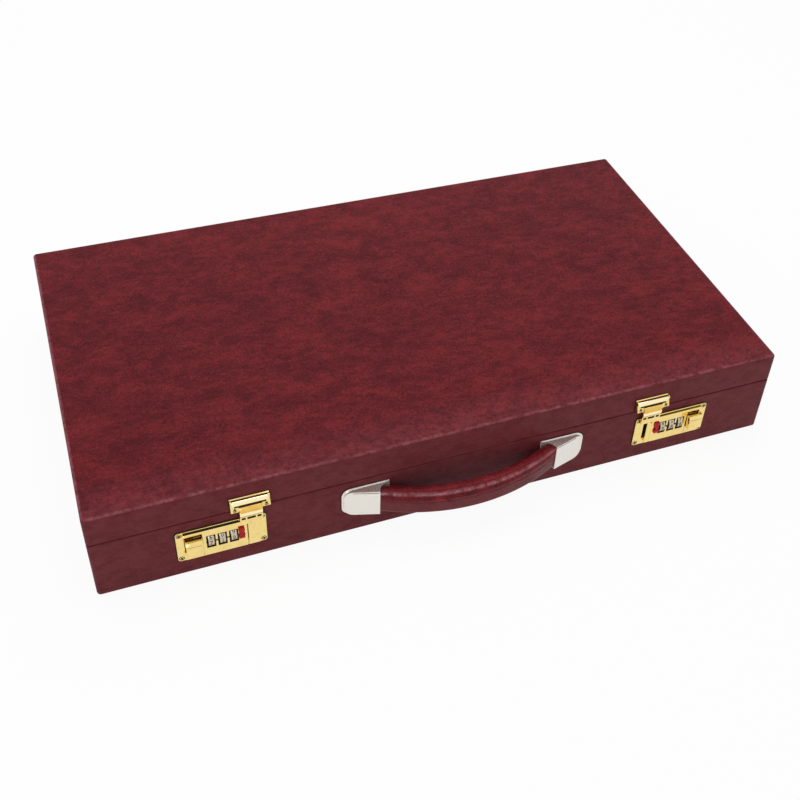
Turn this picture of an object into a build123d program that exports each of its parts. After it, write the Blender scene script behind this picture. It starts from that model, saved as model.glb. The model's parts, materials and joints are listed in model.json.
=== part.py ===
from build123d import *
import os

# Chess storage case: a wooden attache case covered in leatherette, with a hinged lid,
# two combination locks on its front and a leatherette handle with metal end caps.
# The origin is the centre of the underside, the front faces -Y and +Z is up.

os.makedirs("parts", exist_ok=True)

# Case
case_width = 470.0
case_depth = 266.0
case_height = 70.0
base_height = 46.8  # underside to the seam
seam_gap = 0.4
board_thickness = 9.0
panel_thickness = 4.0
cover_thickness = 0.8  # leatherette
lining_thickness = 1.0  # velvet
corner_radius = 2.5  # upright corners
top_edge_radius = 2.2
rim_bevel = 0.7  # cover's edges along the seam
bottom_bevel = 1.3
wood_bevel = 0.8  # boards' edges under the cover's folds
wrap_lift = 0.3  # side cover stops this far above the bottom sheet's underside
bottom_sheet_inset = 3.0

# Compartments
columns = 8
outer_row_depth = 90.0
divider_thickness = 3.0
divider_drop = 5.0  # rim down to the dividers' tops
divider_bevel = 0.8
lap_clearance = 0.1
divider_end_gap = 0.2

# Lid cushion
cushion_edge = 5.0
cushion_crown = 4.5
cushion_gap = 0.5
cushion_draw = 2.0  # how far the sides pull in between the corners

# Back hinges, which stop at the end of the lid's travel
hinge_inset = 85.0  # case's end to the hinge's middle
hinge_length = 50.0
lid_knuckle_length = 17.0
knuckle_gap = 0.25
barrel_radius = 2.4
hinge_pin_radius = 1.0
leaf_thickness = 1.2
leaf_height = 17.0
leaf_clearance = 0.5
heel_reach = 5.6
heel_thickness = 1.2
heel_width = 12.0
heel_drop = 0.5
pin_clearance = 0.04

# Lock faces, measured outward from the case's front
lock_inset = 78.0  # case's end to the lock's middle
lock_height = 27.2
lock_width = 55.6
lock_tall = 25.4
lock_corner = 2.0
lock_plate_thickness = 1.0
lock_face = 2.8  # front of the raised part
lock_sheet = 0.8
raised_inner = 15.8  # lock's centre to the raised part's end on the handle's side
raised_outer = 23.7
raised_half_tall = 11.3
raised_bevel = 0.5
running_gap = 0.05  # between flat pieces that slide past each other

# Code wheels
wheel_count = 3
wheel_pitch = 7.0
wheel_radius = 6.6
wheel_rise = 1.0  # wheel axis above the lock's centre
wheel_proud = 1.6
wheel_rim_width = 3.6
ratchet_width = 1.0
ratchet_radius = 4.0
finger_gap = 0.15  # between a detent finger and its ratchet ring
digits = 10
thumb_notch_width = 1.5
thumb_notch_depth = 0.6
ratchet_notch_width = 1.2
ratchet_notch_depth = 0.6
window_width = 5.0
window_tall = 10.4
spindle_radius = 1.6
bore_clearance = 0.05
gate_width = 1.2
gate_depth = 0.8

# Lock frame inside the front board, measured from the lock's centre
frame_half_width = 22.0
frame_up = 9.8
frame_down = 7.8
frame_depth = 9.8
frame_sheet = 0.8
frame_clearance = 0.3
outer_ear = 11.2  # the ear beside the button
inner_ear = 16.8
ear_up = 6.8
strip_thickness = 0.4  # detent spring
strip_width = 4.5

# Button and bolt
button_inner = 12.35
button_width = 10.3
button_down = 4.0  # lock's centre to the button's bottom
button_tall = 11.1
button_front = 7.1
button_back = 1.4
button_slope = 1.6  # finger slope along the button's top edge
button_bevel = 0.3
button_travel = 3.5
button_foot_width = 4.5
button_foot_inset = 1.6
button_foot_back = 0.2
window_clearance = 0.3
window_relief = 2.4  # opening above the button
bolt_thickness = 0.9
bolt_up = 7.9  # lock's centre to the bar's underside
bolt_gap = 0.3  # between the bolt's nose and the hasp's catch
bolt_depth = 3.0
bolt_end_gap = 0.3  # between the pressed bolt and the frame's end
bolt_tab_depth = 7.0

# Code-change slide
code_offset = 11.8
code_rise = 1.4  # cap's centre above the wheel axis
code_width = 3.7
code_tall = 9.4
code_proud = 1.1
code_waist = 0.6
code_travel = 1.4
code_stem_width = 1.6
code_stem_tall = 6.0
code_slot_play = 0.2
code_fork_depth = 2.1  # face to the fork

# Hasps on the lid: a plate with a beaded top and a pocket for the hasp's barrel
hasp_offset = 18.6  # lock's centre to hasp's centre, towards the handle
hasp_plate_width = 24.4
hasp_plate_tall = 9.5
hasp_plate_lift = 1.4
hasp_plate_back = 1.0  # thickness behind the pocket
hasp_plate_toe = 4.4  # how far the lower front edge stands out
hasp_plate_toe_rise = 1.6
hasp_plate_top_out = 2.4
bead_radius = 1.5
bead_out = 1.9
hasp_width = 14.2
hasp_barrel_radius = 2.0
hasp_pin_radius = 0.7
hasp_axis_lift = 3.6  # lid's lower edge to the hasp's axis
hasp_gap = 0.1
pocket_side_gap = 0.15
pocket_rise = 1.3  # pocket's top above the barrel
hasp_sheet = 0.9
flap_length = 10.4  # hasp's axis to the flap's lower edge
flap_band_top = 2.4
flap_band_bottom = 5.6
flap_band_thickness = 0.5
slot_drop = 6.5  # hasp's axis to the slots' top
slot_tall = 2.1
slot_rim = 1.0  # flap beside and between its three slots
side_slot_width = 2.5
tongue_shift = 0.9  # tongue's middle from the flap's, towards the handle
tongue_width = 6.8
tongue_down = 9.1  # lock's centre to the tongue's lower end
catch_up = 7.6  # lock's centre to the catch's underside
catch_width = 3.0
catch_tall = 1.5
catch_window_width = 5.4
catch_window_down = 7.2
catch_window_up = 9.4

# Button spring: a strip folded to and fro
spring_sheet = 0.3
spring_folds = 4
spring_depth = 3.6
spring_tall = 3.0

# Handle
handle_shift = 4.0  # handle's centre right of the case's centre
handle_height = 30.3
cap_half_span = 83.5
cap_inner = 61.5
cap_tip = 53.0
cap_tall = 21.0
cap_outer_depth = 1.9
cap_inner_depth = 8.3
cap_wall = 0.9
cap_corner = 6.0
cap_corner_flat = 0.1
cap_hollow = 2.2  # how far the inner edge is hollowed
cap_hollow_height = 0.42
backplate_thickness = 0.8
backplate_margin = 1.2
grip_tall = 18.6
grip_thickness = 8.6
grip_bow = 22.5
grip_end = 77.0
grip_round = 2.6
grip_clearance = 0.3
grip_lift = 1.2  # the grip's ends above the back plates
core_thickness = 1.2
core_tall = 12.0
core_clearance = 0.05

# Places that several pieces share
wall_x = case_width / 2 - cover_thickness - board_thickness
wall_y = case_depth / 2 - cover_thickness - board_thickness
inner_x = wall_x - lining_thickness
inner_y = wall_y - lining_thickness
wood_width = case_width - 2 * cover_thickness
wood_depth = case_depth - 2 * cover_thickness
wood_corner = corner_radius - cover_thickness
wood_bottom = cover_thickness
wood_top = case_height - cover_thickness
base_wood_top = base_height - cover_thickness
lid_rim = base_height + seam_gap
lid_wood_bottom = lid_rim + cover_thickness
floor_top = cover_thickness + panel_thickness + lining_thickness
lid_ceiling = wood_top - panel_thickness
front_y = -case_depth / 2
sides = {"left": -1, "right": 1}

front = Plane(origin=(0, front_y, 0), x_dir=(1, 0, 0), z_dir=(0, -1, 0))
back = Plane(origin=(0, -front_y, 0), x_dir=(-1, 0, 0), z_dir=(0, 1, 0))


def across(x):
    """An upright plane that faces +X, on which x is the depth and y is the height."""
    return Plane(origin=(x, 0, 0), x_dir=(0, 1, 0), z_dir=(1, 0, 0))


# Wooden blocks that the boards are cut from
with BuildPart() as base_block:
    with BuildSketch(Plane.XY.offset(wood_bottom)):
        RectangleRounded(wood_width, wood_depth, wood_corner)
    extrude(amount=base_wood_top - wood_bottom)
    chamfer(base_block.faces().sort_by(Axis.Z)[0].edges(), wood_bevel)

with BuildPart() as lid_block:
    with BuildSketch(Plane.XY.offset(lid_wood_bottom)):
        RectangleRounded(wood_width, wood_depth, wood_corner)
    extrude(amount=wood_top - lid_wood_bottom)
    chamfer(lid_block.faces().sort_by(Axis.Z)[-1].edges(), wood_bevel)

# Hinge and lock places
hinge_axis_y = case_depth / 2 + barrel_radius
hinge_axis_z = base_height + seam_gap / 2
hinge_places = [side * (case_width / 2 - hinge_inset) for side in sides.values()]
lock_offset = case_width / 2 - lock_inset
frame_top = lock_height + frame_up
frame_bottom = lock_height - frame_down
frame_centre_z = (frame_top + frame_bottom) / 2
hasp_axis_out = hasp_plate_back + hasp_barrel_radius + hasp_gap
hasp_axis_z = lid_rim + hasp_axis_lift
cutout_half_width = frame_half_width + frame_clearance
cutout_tall = frame_top - frame_bottom + 2 * frame_clearance
cutout_centres = [(side * lock_offset, frame_centre_z) for side in sides.values()]

# Base: front board, with the lock openings
with BuildPart() as base_front_board:
    add(base_block.part)
    with BuildSketch(Plane.XY):
        with Locations((0, -(case_depth / 2 + wall_y) / 2)):
            Rectangle(case_width, case_depth / 2 - wall_y)
    extrude(amount=case_height, mode=Mode.INTERSECT)
    with BuildSketch(front):
        with Locations(*cutout_centres):
            Rectangle(2 * cutout_half_width, cutout_tall)
    extrude(amount=-(cover_thickness + board_thickness), mode=Mode.SUBTRACT)
base_front_board.part.label = "base_front_board"
export_step(base_front_board.part, "parts/base_front_board.step")

# Base: back board
with BuildPart() as base_back_board:
    add(base_block.part)
    with BuildSketch(Plane.XY):
        with Locations((0, (case_depth / 2 + wall_y) / 2)):
            Rectangle(case_width, case_depth / 2 - wall_y)
    extrude(amount=case_height, mode=Mode.INTERSECT)
base_back_board.part.label = "base_back_board"
export_step(base_back_board.part, "parts/base_back_board.step")

# Base: the two end boards, between the front and back boards
with BuildPart() as base_end_boards:
    add(base_block.part)
    with BuildSketch(Plane.XY):
        with GridLocations(case_width / 2 + wall_x, 0, 2, 1):
            Rectangle(case_width / 2 - wall_x, 2 * wall_y)
    extrude(amount=case_height, mode=Mode.INTERSECT)
base_end_boards.part.label = "base_end_boards"
export_step(base_end_boards.part, "parts/base_end_boards.step")

# Base: bottom panel, inside the four boards
with BuildPart() as base_bottom_panel:
    with BuildSketch(Plane.XY.offset(wood_bottom)):
        Rectangle(2 * wall_x, 2 * wall_y)
    extrude(amount=panel_thickness)
base_bottom_panel.part.label = "base_bottom_panel"
export_step(base_bottom_panel.part, "parts/base_bottom_panel.step")

# Base: leatherette round the sides, turned over the rim and under the bottom
with BuildPart() as base_cover:
    with BuildSketch(Plane.XY.offset(wrap_lift)):
        RectangleRounded(case_width, case_depth, corner_radius)
    extrude(amount=base_height - wrap_lift)
    chamfer(base_cover.faces().sort_by(Axis.Z)[0].edges(), bottom_bevel)
    chamfer(base_cover.faces().sort_by(Axis.Z)[-1].edges(), rim_bevel)
    add(base_block.part, mode=Mode.SUBTRACT)
    with BuildSketch(Plane.XY):
        Rectangle(case_width - 2 * bottom_sheet_inset, case_depth - 2 * bottom_sheet_inset)
    extrude(amount=cover_thickness, mode=Mode.SUBTRACT)
    with BuildSketch(Plane.XY.offset(base_wood_top)):
        Rectangle(2 * inner_x, 2 * inner_y)
    extrude(amount=cover_thickness, mode=Mode.SUBTRACT)
    with BuildSketch(front):
        with Locations(*cutout_centres):
            Rectangle(2 * cutout_half_width, cutout_tall)
    extrude(amount=-cover_thickness, mode=Mode.SUBTRACT)
base_cover.part.label = "base_cover"
export_step(base_cover.part, "parts/base_cover.step")

# Base: leatherette sheet under the bottom, which the case stands on
with BuildPart() as base_bottom_sheet:
    with BuildSketch(Plane.XY):
        Rectangle(case_width - 2 * bottom_sheet_inset, case_depth - 2 * bottom_sheet_inset)
    extrude(amount=cover_thickness)
base_bottom_sheet.part.label = "base_bottom_sheet"
export_step(base_bottom_sheet.part, "parts/base_bottom_sheet.step")

# Base: velvet on the floor and the walls, up to the turned rim
with BuildPart() as base_lining:
    with BuildSketch(Plane.XY.offset(wood_bottom + panel_thickness)):
        Rectangle(2 * wall_x, 2 * wall_y)
    extrude(amount=base_wood_top - wood_bottom - panel_thickness)
    with BuildSketch(Plane.XY.offset(floor_top)):
        Rectangle(2 * inner_x, 2 * inner_y)
    extrude(amount=base_height - floor_top, mode=Mode.SUBTRACT)
base_lining.part.label = "base_lining"
export_step(base_lining.part, "parts/base_lining.step")

# Dividers: boards half-lapped into a grid of three rows
divider_top = base_height - divider_drop
divider_middle = (floor_top + divider_top) / 2
column_pitch = (2 * inner_x - (columns - 1) * divider_thickness) / columns + divider_thickness
long_divider_y = inner_y - outer_row_depth - divider_thickness / 2
lap_width = divider_thickness + 2 * lap_clearance

for row, row_y in {"front": -long_divider_y, "back": long_divider_y}.items():
    with BuildPart() as long_divider:
        with BuildSketch(Plane.YZ) as profile:
            with Locations((row_y, divider_middle)):
                Rectangle(divider_thickness, divider_top - floor_top)
            chamfer(profile.vertices().group_by(Axis.Z)[-1], divider_bevel)
        extrude(amount=inner_x - divider_end_gap, both=True)
        with BuildSketch(Plane.XY.offset(divider_middle)):
            with Locations((0, row_y)):
                with GridLocations(column_pitch, 0, columns - 1, 1):
                    Rectangle(lap_width, lap_width)
        extrude(amount=divider_top - divider_middle, mode=Mode.SUBTRACT)
    long_divider.part.label = f"{row}_long_divider"
    export_step(long_divider.part, f"parts/{long_divider.part.label}.step")

with BuildPart() as cross_dividers:
    with BuildSketch(Plane.XZ) as profile:
        with Locations((0, divider_middle)):
            with GridLocations(column_pitch, 0, columns - 1, 1):
                Rectangle(divider_thickness, divider_top - floor_top)
        chamfer(profile.vertices().group_by(Axis.Z)[-1], divider_bevel)
    extrude(amount=inner_y - divider_end_gap, both=True)
    with BuildSketch(Plane.XY.offset(floor_top)):
        with GridLocations(0, 2 * long_divider_y, 1, 2):
            Rectangle(case_width, lap_width)
    extrude(amount=divider_middle - floor_top, mode=Mode.SUBTRACT)
cross_dividers.part.label = "cross_dividers"
export_step(cross_dividers.part, "parts/cross_dividers.step")

# Lid: front board
with BuildPart() as lid_front_board:
    add(lid_block.part)
    with BuildSketch(Plane.XY):
        with Locations((0, -(case_depth / 2 + wall_y) / 2)):
            Rectangle(case_width, case_depth / 2 - wall_y)
    extrude(amount=case_height, mode=Mode.INTERSECT)
lid_front_board.part.label = "lid_front_board"
export_step(lid_front_board.part, "parts/lid_front_board.step")

# Lid: back board
with BuildPart() as lid_back_board:
    add(lid_block.part)
    with BuildSketch(Plane.XY):
        with Locations((0, (case_depth / 2 + wall_y) / 2)):
            Rectangle(case_width, case_depth / 2 - wall_y)
    extrude(amount=case_height, mode=Mode.INTERSECT)
lid_back_board.part.label = "lid_back_board"
export_step(lid_back_board.part, "parts/lid_back_board.step")

# Lid: the two end boards
with BuildPart() as lid_end_boards:
    add(lid_block.part)
    with BuildSketch(Plane.XY):
        with GridLocations(case_width / 2 + wall_x, 0, 2, 1):
            Rectangle(case_width / 2 - wall_x, 2 * wall_y)
    extrude(amount=case_height, mode=Mode.INTERSECT)
lid_end_boards.part.label = "lid_end_boards"
export_step(lid_end_boards.part, "parts/lid_end_boards.step")

# Lid: top panel, inside the four boards
with BuildPart() as lid_top_panel:
    with BuildSketch(Plane.XY.offset(lid_ceiling)):
        Rectangle(2 * wall_x, 2 * wall_y)
    extrude(amount=panel_thickness)
lid_top_panel.part.label = "lid_top_panel"
export_step(lid_top_panel.part, "parts/lid_top_panel.step")

# Lid: leatherette over the top and sides, turned over the rim
with BuildPart() as lid_cover:
    with BuildSketch(Plane.XY.offset(lid_rim)):
        RectangleRounded(case_width, case_depth, corner_radius)
    extrude(amount=case_height - lid_rim)
    fillet(lid_cover.faces().sort_by(Axis.Z)[-1].edges(), top_edge_radius)
    chamfer(lid_cover.faces().sort_by(Axis.Z)[0].edges(), rim_bevel)
    add(lid_block.part, mode=Mode.SUBTRACT)
    with BuildSketch(Plane.XY.offset(lid_rim)):
        Rectangle(2 * inner_x, 2 * inner_y)
    extrude(amount=cover_thickness, mode=Mode.SUBTRACT)
lid_cover.part.label = "lid_cover"
export_step(lid_cover.part, "parts/lid_cover.step")

# Lid: velvet on the walls and the ceiling
with BuildPart() as lid_lining:
    with BuildSketch(Plane.XY.offset(lid_wood_bottom)):
        Rectangle(2 * wall_x, 2 * wall_y)
    extrude(amount=lid_ceiling - lid_wood_bottom)
    with BuildSketch(Plane.XY.offset(lid_wood_bottom)):
        Rectangle(2 * inner_x, 2 * inner_y)
    extrude(amount=lid_ceiling - lining_thickness - lid_wood_bottom, mode=Mode.SUBTRACT)
lid_lining.part.label = "lid_lining"
export_step(lid_lining.part, "parts/lid_lining.step")

# Lid: cushion that holds the chessmen down, crowned both ways
cushion_x = inner_x - cushion_gap
cushion_y = inner_y - cushion_gap
cushion_top = lid_ceiling - lining_thickness
cushion_low = cushion_top - cushion_edge
with BuildPart() as lid_cushion:
    with BuildSketch(Plane.XZ):
        with BuildLine():
            ThreePointArc((-cushion_x, cushion_low), (0, cushion_low - cushion_crown), (cushion_x, cushion_low))
            Polyline((cushion_x, cushion_low), (cushion_x, cushion_top), (-cushion_x, cushion_top),
                     (-cushion_x, cushion_low))
        make_face()
    extrude(amount=cushion_y, both=True)
    with BuildSketch(Plane.YZ):
        with BuildLine():
            ThreePointArc((-cushion_y, cushion_low), (0, cushion_low - cushion_crown), (cushion_y, cushion_low))
            Polyline((cushion_y, cushion_low), (cushion_y, cushion_top), (-cushion_y, cushion_top),
                     (-cushion_y, cushion_low))
        make_face()
    extrude(amount=cushion_x, both=True, mode=Mode.INTERSECT)
    with BuildSketch(Plane.XY.offset(cushion_top)) as outline:
        with BuildLine():
            ThreePointArc((-cushion_x, -cushion_y), (0, cushion_draw - cushion_y), (cushion_x, -cushion_y))
            ThreePointArc((cushion_x, -cushion_y), (cushion_x - cushion_draw, 0), (cushion_x, cushion_y))
            ThreePointArc((cushion_x, cushion_y), (0, cushion_y - cushion_draw), (-cushion_x, cushion_y))
            ThreePointArc((-cushion_x, cushion_y), (cushion_draw - cushion_x, 0), (-cushion_x, -cushion_y))
        make_face()
        fillet(outline.vertices(), cushion_edge)
    extrude(amount=-(cushion_edge + 2 * cushion_crown), mode=Mode.INTERSECT)
lid_cushion.part.label = "lid_cushion"
export_step(lid_cushion.part, "parts/lid_cushion.step")

# Hinges: knuckles in turn on the base leaf and the lid leaf, with a heel that stops the lid
base_knuckle = (hinge_length - lid_knuckle_length) / 2 - knuckle_gap
knuckle_shift = (hinge_length - base_knuckle) / 2
leaf_edge = barrel_radius + leaf_clearance
hinge_bore = hinge_pin_radius + pin_clearance

for (side_name, side), hinge_x in zip(sides.items(), hinge_places):
    with BuildPart() as base_leaf:
        with BuildSketch(back):
            with Locations((-hinge_x, hinge_axis_z - leaf_height / 2)):
                Rectangle(hinge_length, leaf_height)
            with Locations((-hinge_x, hinge_axis_z - leaf_edge / 2)):
                Rectangle(hinge_length - 2 * base_knuckle, leaf_edge, mode=Mode.SUBTRACT)
        extrude(amount=leaf_thickness)
        chamfer(base_leaf.edges().filter_by(Axis.Y).group_by(Axis.Z)[0], leaf_thickness)
        for shift in (-knuckle_shift, knuckle_shift):
            with BuildSketch(across(hinge_x + shift)):
                with Locations((hinge_axis_y, hinge_axis_z)):
                    Circle(barrel_radius)
            extrude(amount=base_knuckle / 2, both=True)
        with BuildSketch(across(hinge_x)):
            with Locations((hinge_axis_y, hinge_axis_z)):
                Circle(hinge_bore)
        extrude(amount=hinge_length, both=True, mode=Mode.SUBTRACT)
    base_leaf.part.label = f"{side_name}_hinge_base_leaf"
    export_step(base_leaf.part, f"parts/{base_leaf.part.label}.step")

    with BuildPart() as lid_leaf:
        with BuildSketch(back):
            with Locations((-hinge_x, hinge_axis_z + leaf_height / 2)):
                Rectangle(hinge_length, leaf_height)
            with Locations(*[(-hinge_x + s, hinge_axis_z + leaf_edge / 2) for s in (-knuckle_shift, knuckle_shift)]):
                Rectangle(base_knuckle + 2 * knuckle_gap, leaf_edge, mode=Mode.SUBTRACT)
        extrude(amount=leaf_thickness)
        chamfer(lid_leaf.edges().filter_by(Axis.Y).group_by(Axis.Z)[-1], leaf_thickness)
        with BuildSketch(across(hinge_x)):
            with Locations((hinge_axis_y, hinge_axis_z)):
                Circle(barrel_radius)
        extrude(amount=lid_knuckle_length / 2, both=True)
        with BuildSketch(across(hinge_x)):
            with Locations((hinge_axis_y + heel_reach / 2, hinge_axis_z - heel_drop + heel_thickness / 2)):
                Rectangle(heel_reach, heel_thickness)
        extrude(amount=heel_width / 2, both=True)
        with BuildSketch(across(hinge_x)):
            with Locations((hinge_axis_y, hinge_axis_z)):
                Circle(hinge_bore)
        extrude(amount=hinge_length, both=True, mode=Mode.SUBTRACT)
    lid_leaf.part.label = f"{side_name}_hinge_lid_leaf"
    export_step(lid_leaf.part, f"parts/{lid_leaf.part.label}.step")

with BuildPart() as hinge_pins:
    for hinge_x in hinge_places:
        with BuildSketch(across(hinge_x)):
            with Locations((hinge_axis_y, hinge_axis_z)):
                Circle(hinge_pin_radius)
        extrude(amount=hinge_length / 2, both=True)
hinge_pins.part.label = "hinge_pins"
export_step(hinge_pins.part, "parts/hinge_pins.step")

# Lock places that several pieces share
wheel_axis_out = lock_face + wheel_proud - wheel_radius
wheel_axis_y = front_y - wheel_axis_out
wheel_axis_z = lock_height + wheel_rise
spindle_bore = spindle_radius + bore_clearance
ear_top = lock_height + ear_up
bolt_bottom = lock_height + bolt_up
bolt_top = bolt_bottom + bolt_thickness
flap_back = hasp_axis_out + hasp_barrel_radius - hasp_sheet
flap_bottom = hasp_axis_z - flap_length
tongue_bottom = lock_height - tongue_down
catch_bottom = lock_height + catch_up
catch_out = lock_plate_thickness + hasp_gap
catch_window_tall = catch_window_up + catch_window_down
button_bottom = lock_height - button_down
button_centre_z = button_bottom + button_tall / 2
window_bottom = button_bottom - window_clearance
window_top = button_bottom + button_tall + window_relief
code_slot_width = code_stem_width + code_travel + code_slot_play
code_centre_z = wheel_axis_z + code_rise

for side_name, side in sides.items():
    lock_x = side * lock_offset
    hasp_x = side * (lock_offset - hasp_offset)
    wheel_xs = [lock_x + side * (n - (wheel_count - 1) / 2) * wheel_pitch for n in range(wheel_count)]

    # Lock plate: a pressed plate with a raised, hollow middle and its windows
    raised_width = raised_inner + raised_outer
    raised_x = lock_x + side * (raised_outer - raised_inner) / 2
    with BuildPart() as lock_plate:
        with BuildSketch(front):
            with Locations((lock_x, lock_height)):
                RectangleRounded(lock_width, lock_tall, lock_corner)
        extrude(amount=lock_plate_thickness)
        with BuildSketch(front.offset(lock_plate_thickness)):
            with Locations((raised_x, lock_height)):
                RectangleRounded(raised_width, 2 * raised_half_tall, lock_corner / 2)
        extrude(amount=lock_face - lock_plate_thickness)
        chamfer(lock_plate.faces().sort_by(Axis.Y)[0].edges(), raised_bevel)
        with BuildSketch(front):
            with Locations((raised_x, lock_height)):
                Rectangle(raised_width - 2 * lock_sheet, 2 * (raised_half_tall - lock_sheet))
        extrude(amount=lock_face - lock_sheet, mode=Mode.SUBTRACT)
        with BuildSketch(front):
            with Locations(*[(x, wheel_axis_z) for x in wheel_xs]):
                Rectangle(window_width, window_tall)
            with Locations((lock_x - side * code_offset, wheel_axis_z)):
                Rectangle(code_slot_width, code_stem_tall + code_slot_play)
        extrude(amount=lock_face, mode=Mode.SUBTRACT)
        with BuildSketch(front.offset(lock_plate_thickness)):
            button_window = lock_width / 2 - button_inner + window_clearance
            with Locations((lock_x + side * (lock_width - button_window) / 2, (window_bottom + window_top) / 2)):
                Rectangle(button_window, window_top - window_bottom)
        extrude(amount=lock_face, mode=Mode.SUBTRACT)
        with BuildSketch(front):
            with Locations((hasp_x, lock_height + (catch_window_up - catch_window_down) / 2)):
                Rectangle(catch_window_width, catch_window_tall)
            with Locations((lock_x - side * raised_inner, bolt_bottom + bolt_thickness / 2)):
                Rectangle(4 * lock_sheet, bolt_thickness + 2 * bolt_gap)
        extrude(amount=lock_face - lock_sheet, mode=Mode.SUBTRACT)
    lock_plate.part.label = f"{side_name}_lock_plate"
    export_step(lock_plate.part, f"parts/{lock_plate.part.label}.step")

    # Lock frame: a pressed tray set into the front board, with ears for the spindle
    with BuildPart() as lock_frame:
        with BuildSketch(front.offset(-frame_depth)):
            with Locations((lock_x, frame_centre_z)):
                Rectangle(2 * frame_half_width, frame_top - frame_bottom)
        extrude(amount=frame_depth)
        with BuildSketch(front.offset(-frame_depth + frame_sheet)):
            with Locations((lock_x, frame_centre_z)):
                Rectangle(2 * (frame_half_width - frame_sheet), frame_top - frame_bottom - 2 * frame_sheet)
        extrude(amount=frame_depth, mode=Mode.SUBTRACT)
        with BuildSketch(front.offset(-frame_depth + frame_sheet)):
            with Locations(*[(lock_x + side * (u + frame_sheet / 2), (frame_bottom + ear_top) / 2)
                             for u in (outer_ear, -inner_ear - frame_sheet)]):
                Rectangle(frame_sheet, ear_top - frame_bottom)
        extrude(amount=frame_depth - frame_sheet)
        with BuildSketch(across(lock_x)):
            with Locations((wheel_axis_y, wheel_axis_z)):
                Circle(spindle_bore)
        extrude(amount=inner_ear + 2 * frame_sheet, both=True, mode=Mode.SUBTRACT)
    lock_frame.part.label = f"{side_name}_lock_frame"
    export_step(lock_frame.part, f"parts/{lock_frame.part.label}.step")

    # Code wheels: ten faces with thumb notches between them, a ratchet ring and a gate
    for number, wheel_x in enumerate(sorted(wheel_xs), start=1):
        with BuildPart() as code_wheel:
            with BuildSketch(across(wheel_x - wheel_rim_width / 2)):
                with Locations((wheel_axis_y, wheel_axis_z)):
                    RegularPolygon(wheel_radius, digits, rotation=180 / digits)
                    with PolarLocations(wheel_radius, digits, start_angle=180 / digits):
                        Rectangle(2 * thumb_notch_depth, thumb_notch_width, mode=Mode.SUBTRACT)
            extrude(amount=wheel_rim_width)
            with BuildSketch(across(wheel_x + wheel_rim_width / 2)):
                with Locations((wheel_axis_y, wheel_axis_z)):
                    RegularPolygon(ratchet_radius, 2 * digits)
                    with PolarLocations(ratchet_radius, digits):
                        Rectangle(2 * ratchet_notch_depth, ratchet_notch_width, mode=Mode.SUBTRACT)
            extrude(amount=ratchet_width)
            with BuildSketch(across(wheel_x)):
                with Locations((wheel_axis_y, wheel_axis_z)):
                    Circle(spindle_bore)
                with Locations((wheel_axis_y, wheel_axis_z + spindle_bore + gate_depth / 2)):
                    Rectangle(gate_width, 2 * gate_depth)
            extrude(amount=wheel_pitch / 2, both=True, mode=Mode.SUBTRACT)
        code_wheel.part.label = f"{side_name}_code_wheel_{number}"
        export_step(code_wheel.part, f"parts/{code_wheel.part.label}.step")

    # Button: a finger block with a sloped top edge, and a foot inside the lock
    button_x = lock_x + side * (button_inner + button_width / 2)
    foot_x = lock_x + side * (button_inner + button_foot_inset + button_foot_width / 2)
    with BuildPart() as button:
        with BuildSketch(front.offset(button_back)):
            with Locations((button_x, button_centre_z)):
                Rectangle(button_width, button_tall)
        extrude(amount=button_front - button_back)
        front_face = button.faces().sort_by(Axis.Y)[0]
        chamfer(front_face.edges().sort_by(Axis.Z)[-1], button_slope)
        chamfer(button.faces().sort_by(Axis.Y)[0].edges(), button_bevel)
        with BuildSketch(front.offset(button_foot_back)):
            with Locations((foot_x, button_centre_z)):
                Rectangle(button_foot_width, button_tall - 2 * button_foot_inset)
        extrude(amount=button_back - button_foot_back)
    button.part.label = f"{side_name}_button"
    export_step(button.part, f"parts/{button.part.label}.step")

    # Bolt: a bar over the wheels, with a nose at the hasp and a bent arm behind the button
    nose = -hasp_offset + catch_width / 2 + bolt_gap
    arm_inner = outer_ear + 2 * frame_sheet
    arm_width = frame_half_width - frame_sheet - bolt_end_gap - button_travel - arm_inner
    with BuildPart() as bolt:
        with BuildSketch(front.offset(-bolt_depth)):
            bar_length = arm_inner + arm_width - nose
            with Locations((lock_x + side * (nose + bar_length / 2), (bolt_bottom + bolt_top) / 2)):
                Rectangle(bar_length, bolt_thickness)
        extrude(amount=bolt_depth + catch_out)
        with BuildSketch(front.offset(button_foot_back)):
            with Locations((lock_x + side * (arm_inner + arm_width / 2), (button_bottom + bolt_top) / 2)):
                Rectangle(arm_width, bolt_top - button_bottom)
        extrude(amount=-bolt_thickness)
        with BuildSketch(front.offset(button_foot_back)):
            with Locations((lock_x + side * (arm_inner + bolt_thickness / 2), button_centre_z)):
                Rectangle(bolt_thickness, button_tall - 2 * button_foot_inset)
        extrude(amount=-bolt_tab_depth)
    bolt.part.label = f"{side_name}_bolt"
    export_step(bolt.part, f"parts/{bolt.part.label}.step")

    # Button spring: a folded strip between the bolt's tab and the frame's end
    spring_start = arm_inner + bolt_thickness
    spring_end = frame_half_width - frame_sheet
    spring_step = (spring_end - spring_start) / (2 * spring_folds)
    spring_y = front_y + bolt_tab_depth / 2
    with BuildPart() as button_spring:
        with BuildSketch(Plane.XY.offset(button_centre_z - spring_tall / 2)):
            with BuildLine():
                Polyline(*[(lock_x + side * (spring_start + spring_sheet + n * spring_step),
                            spring_y + (-1) ** n * spring_depth / 2) for n in range(2 * spring_folds)])
            trace(line_width=spring_sheet)
        extrude(amount=spring_tall)
    button_spring.part.label = f"{side_name}_button_spring"
    export_step(button_spring.part, f"parts/{button_spring.part.label}.step")

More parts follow.
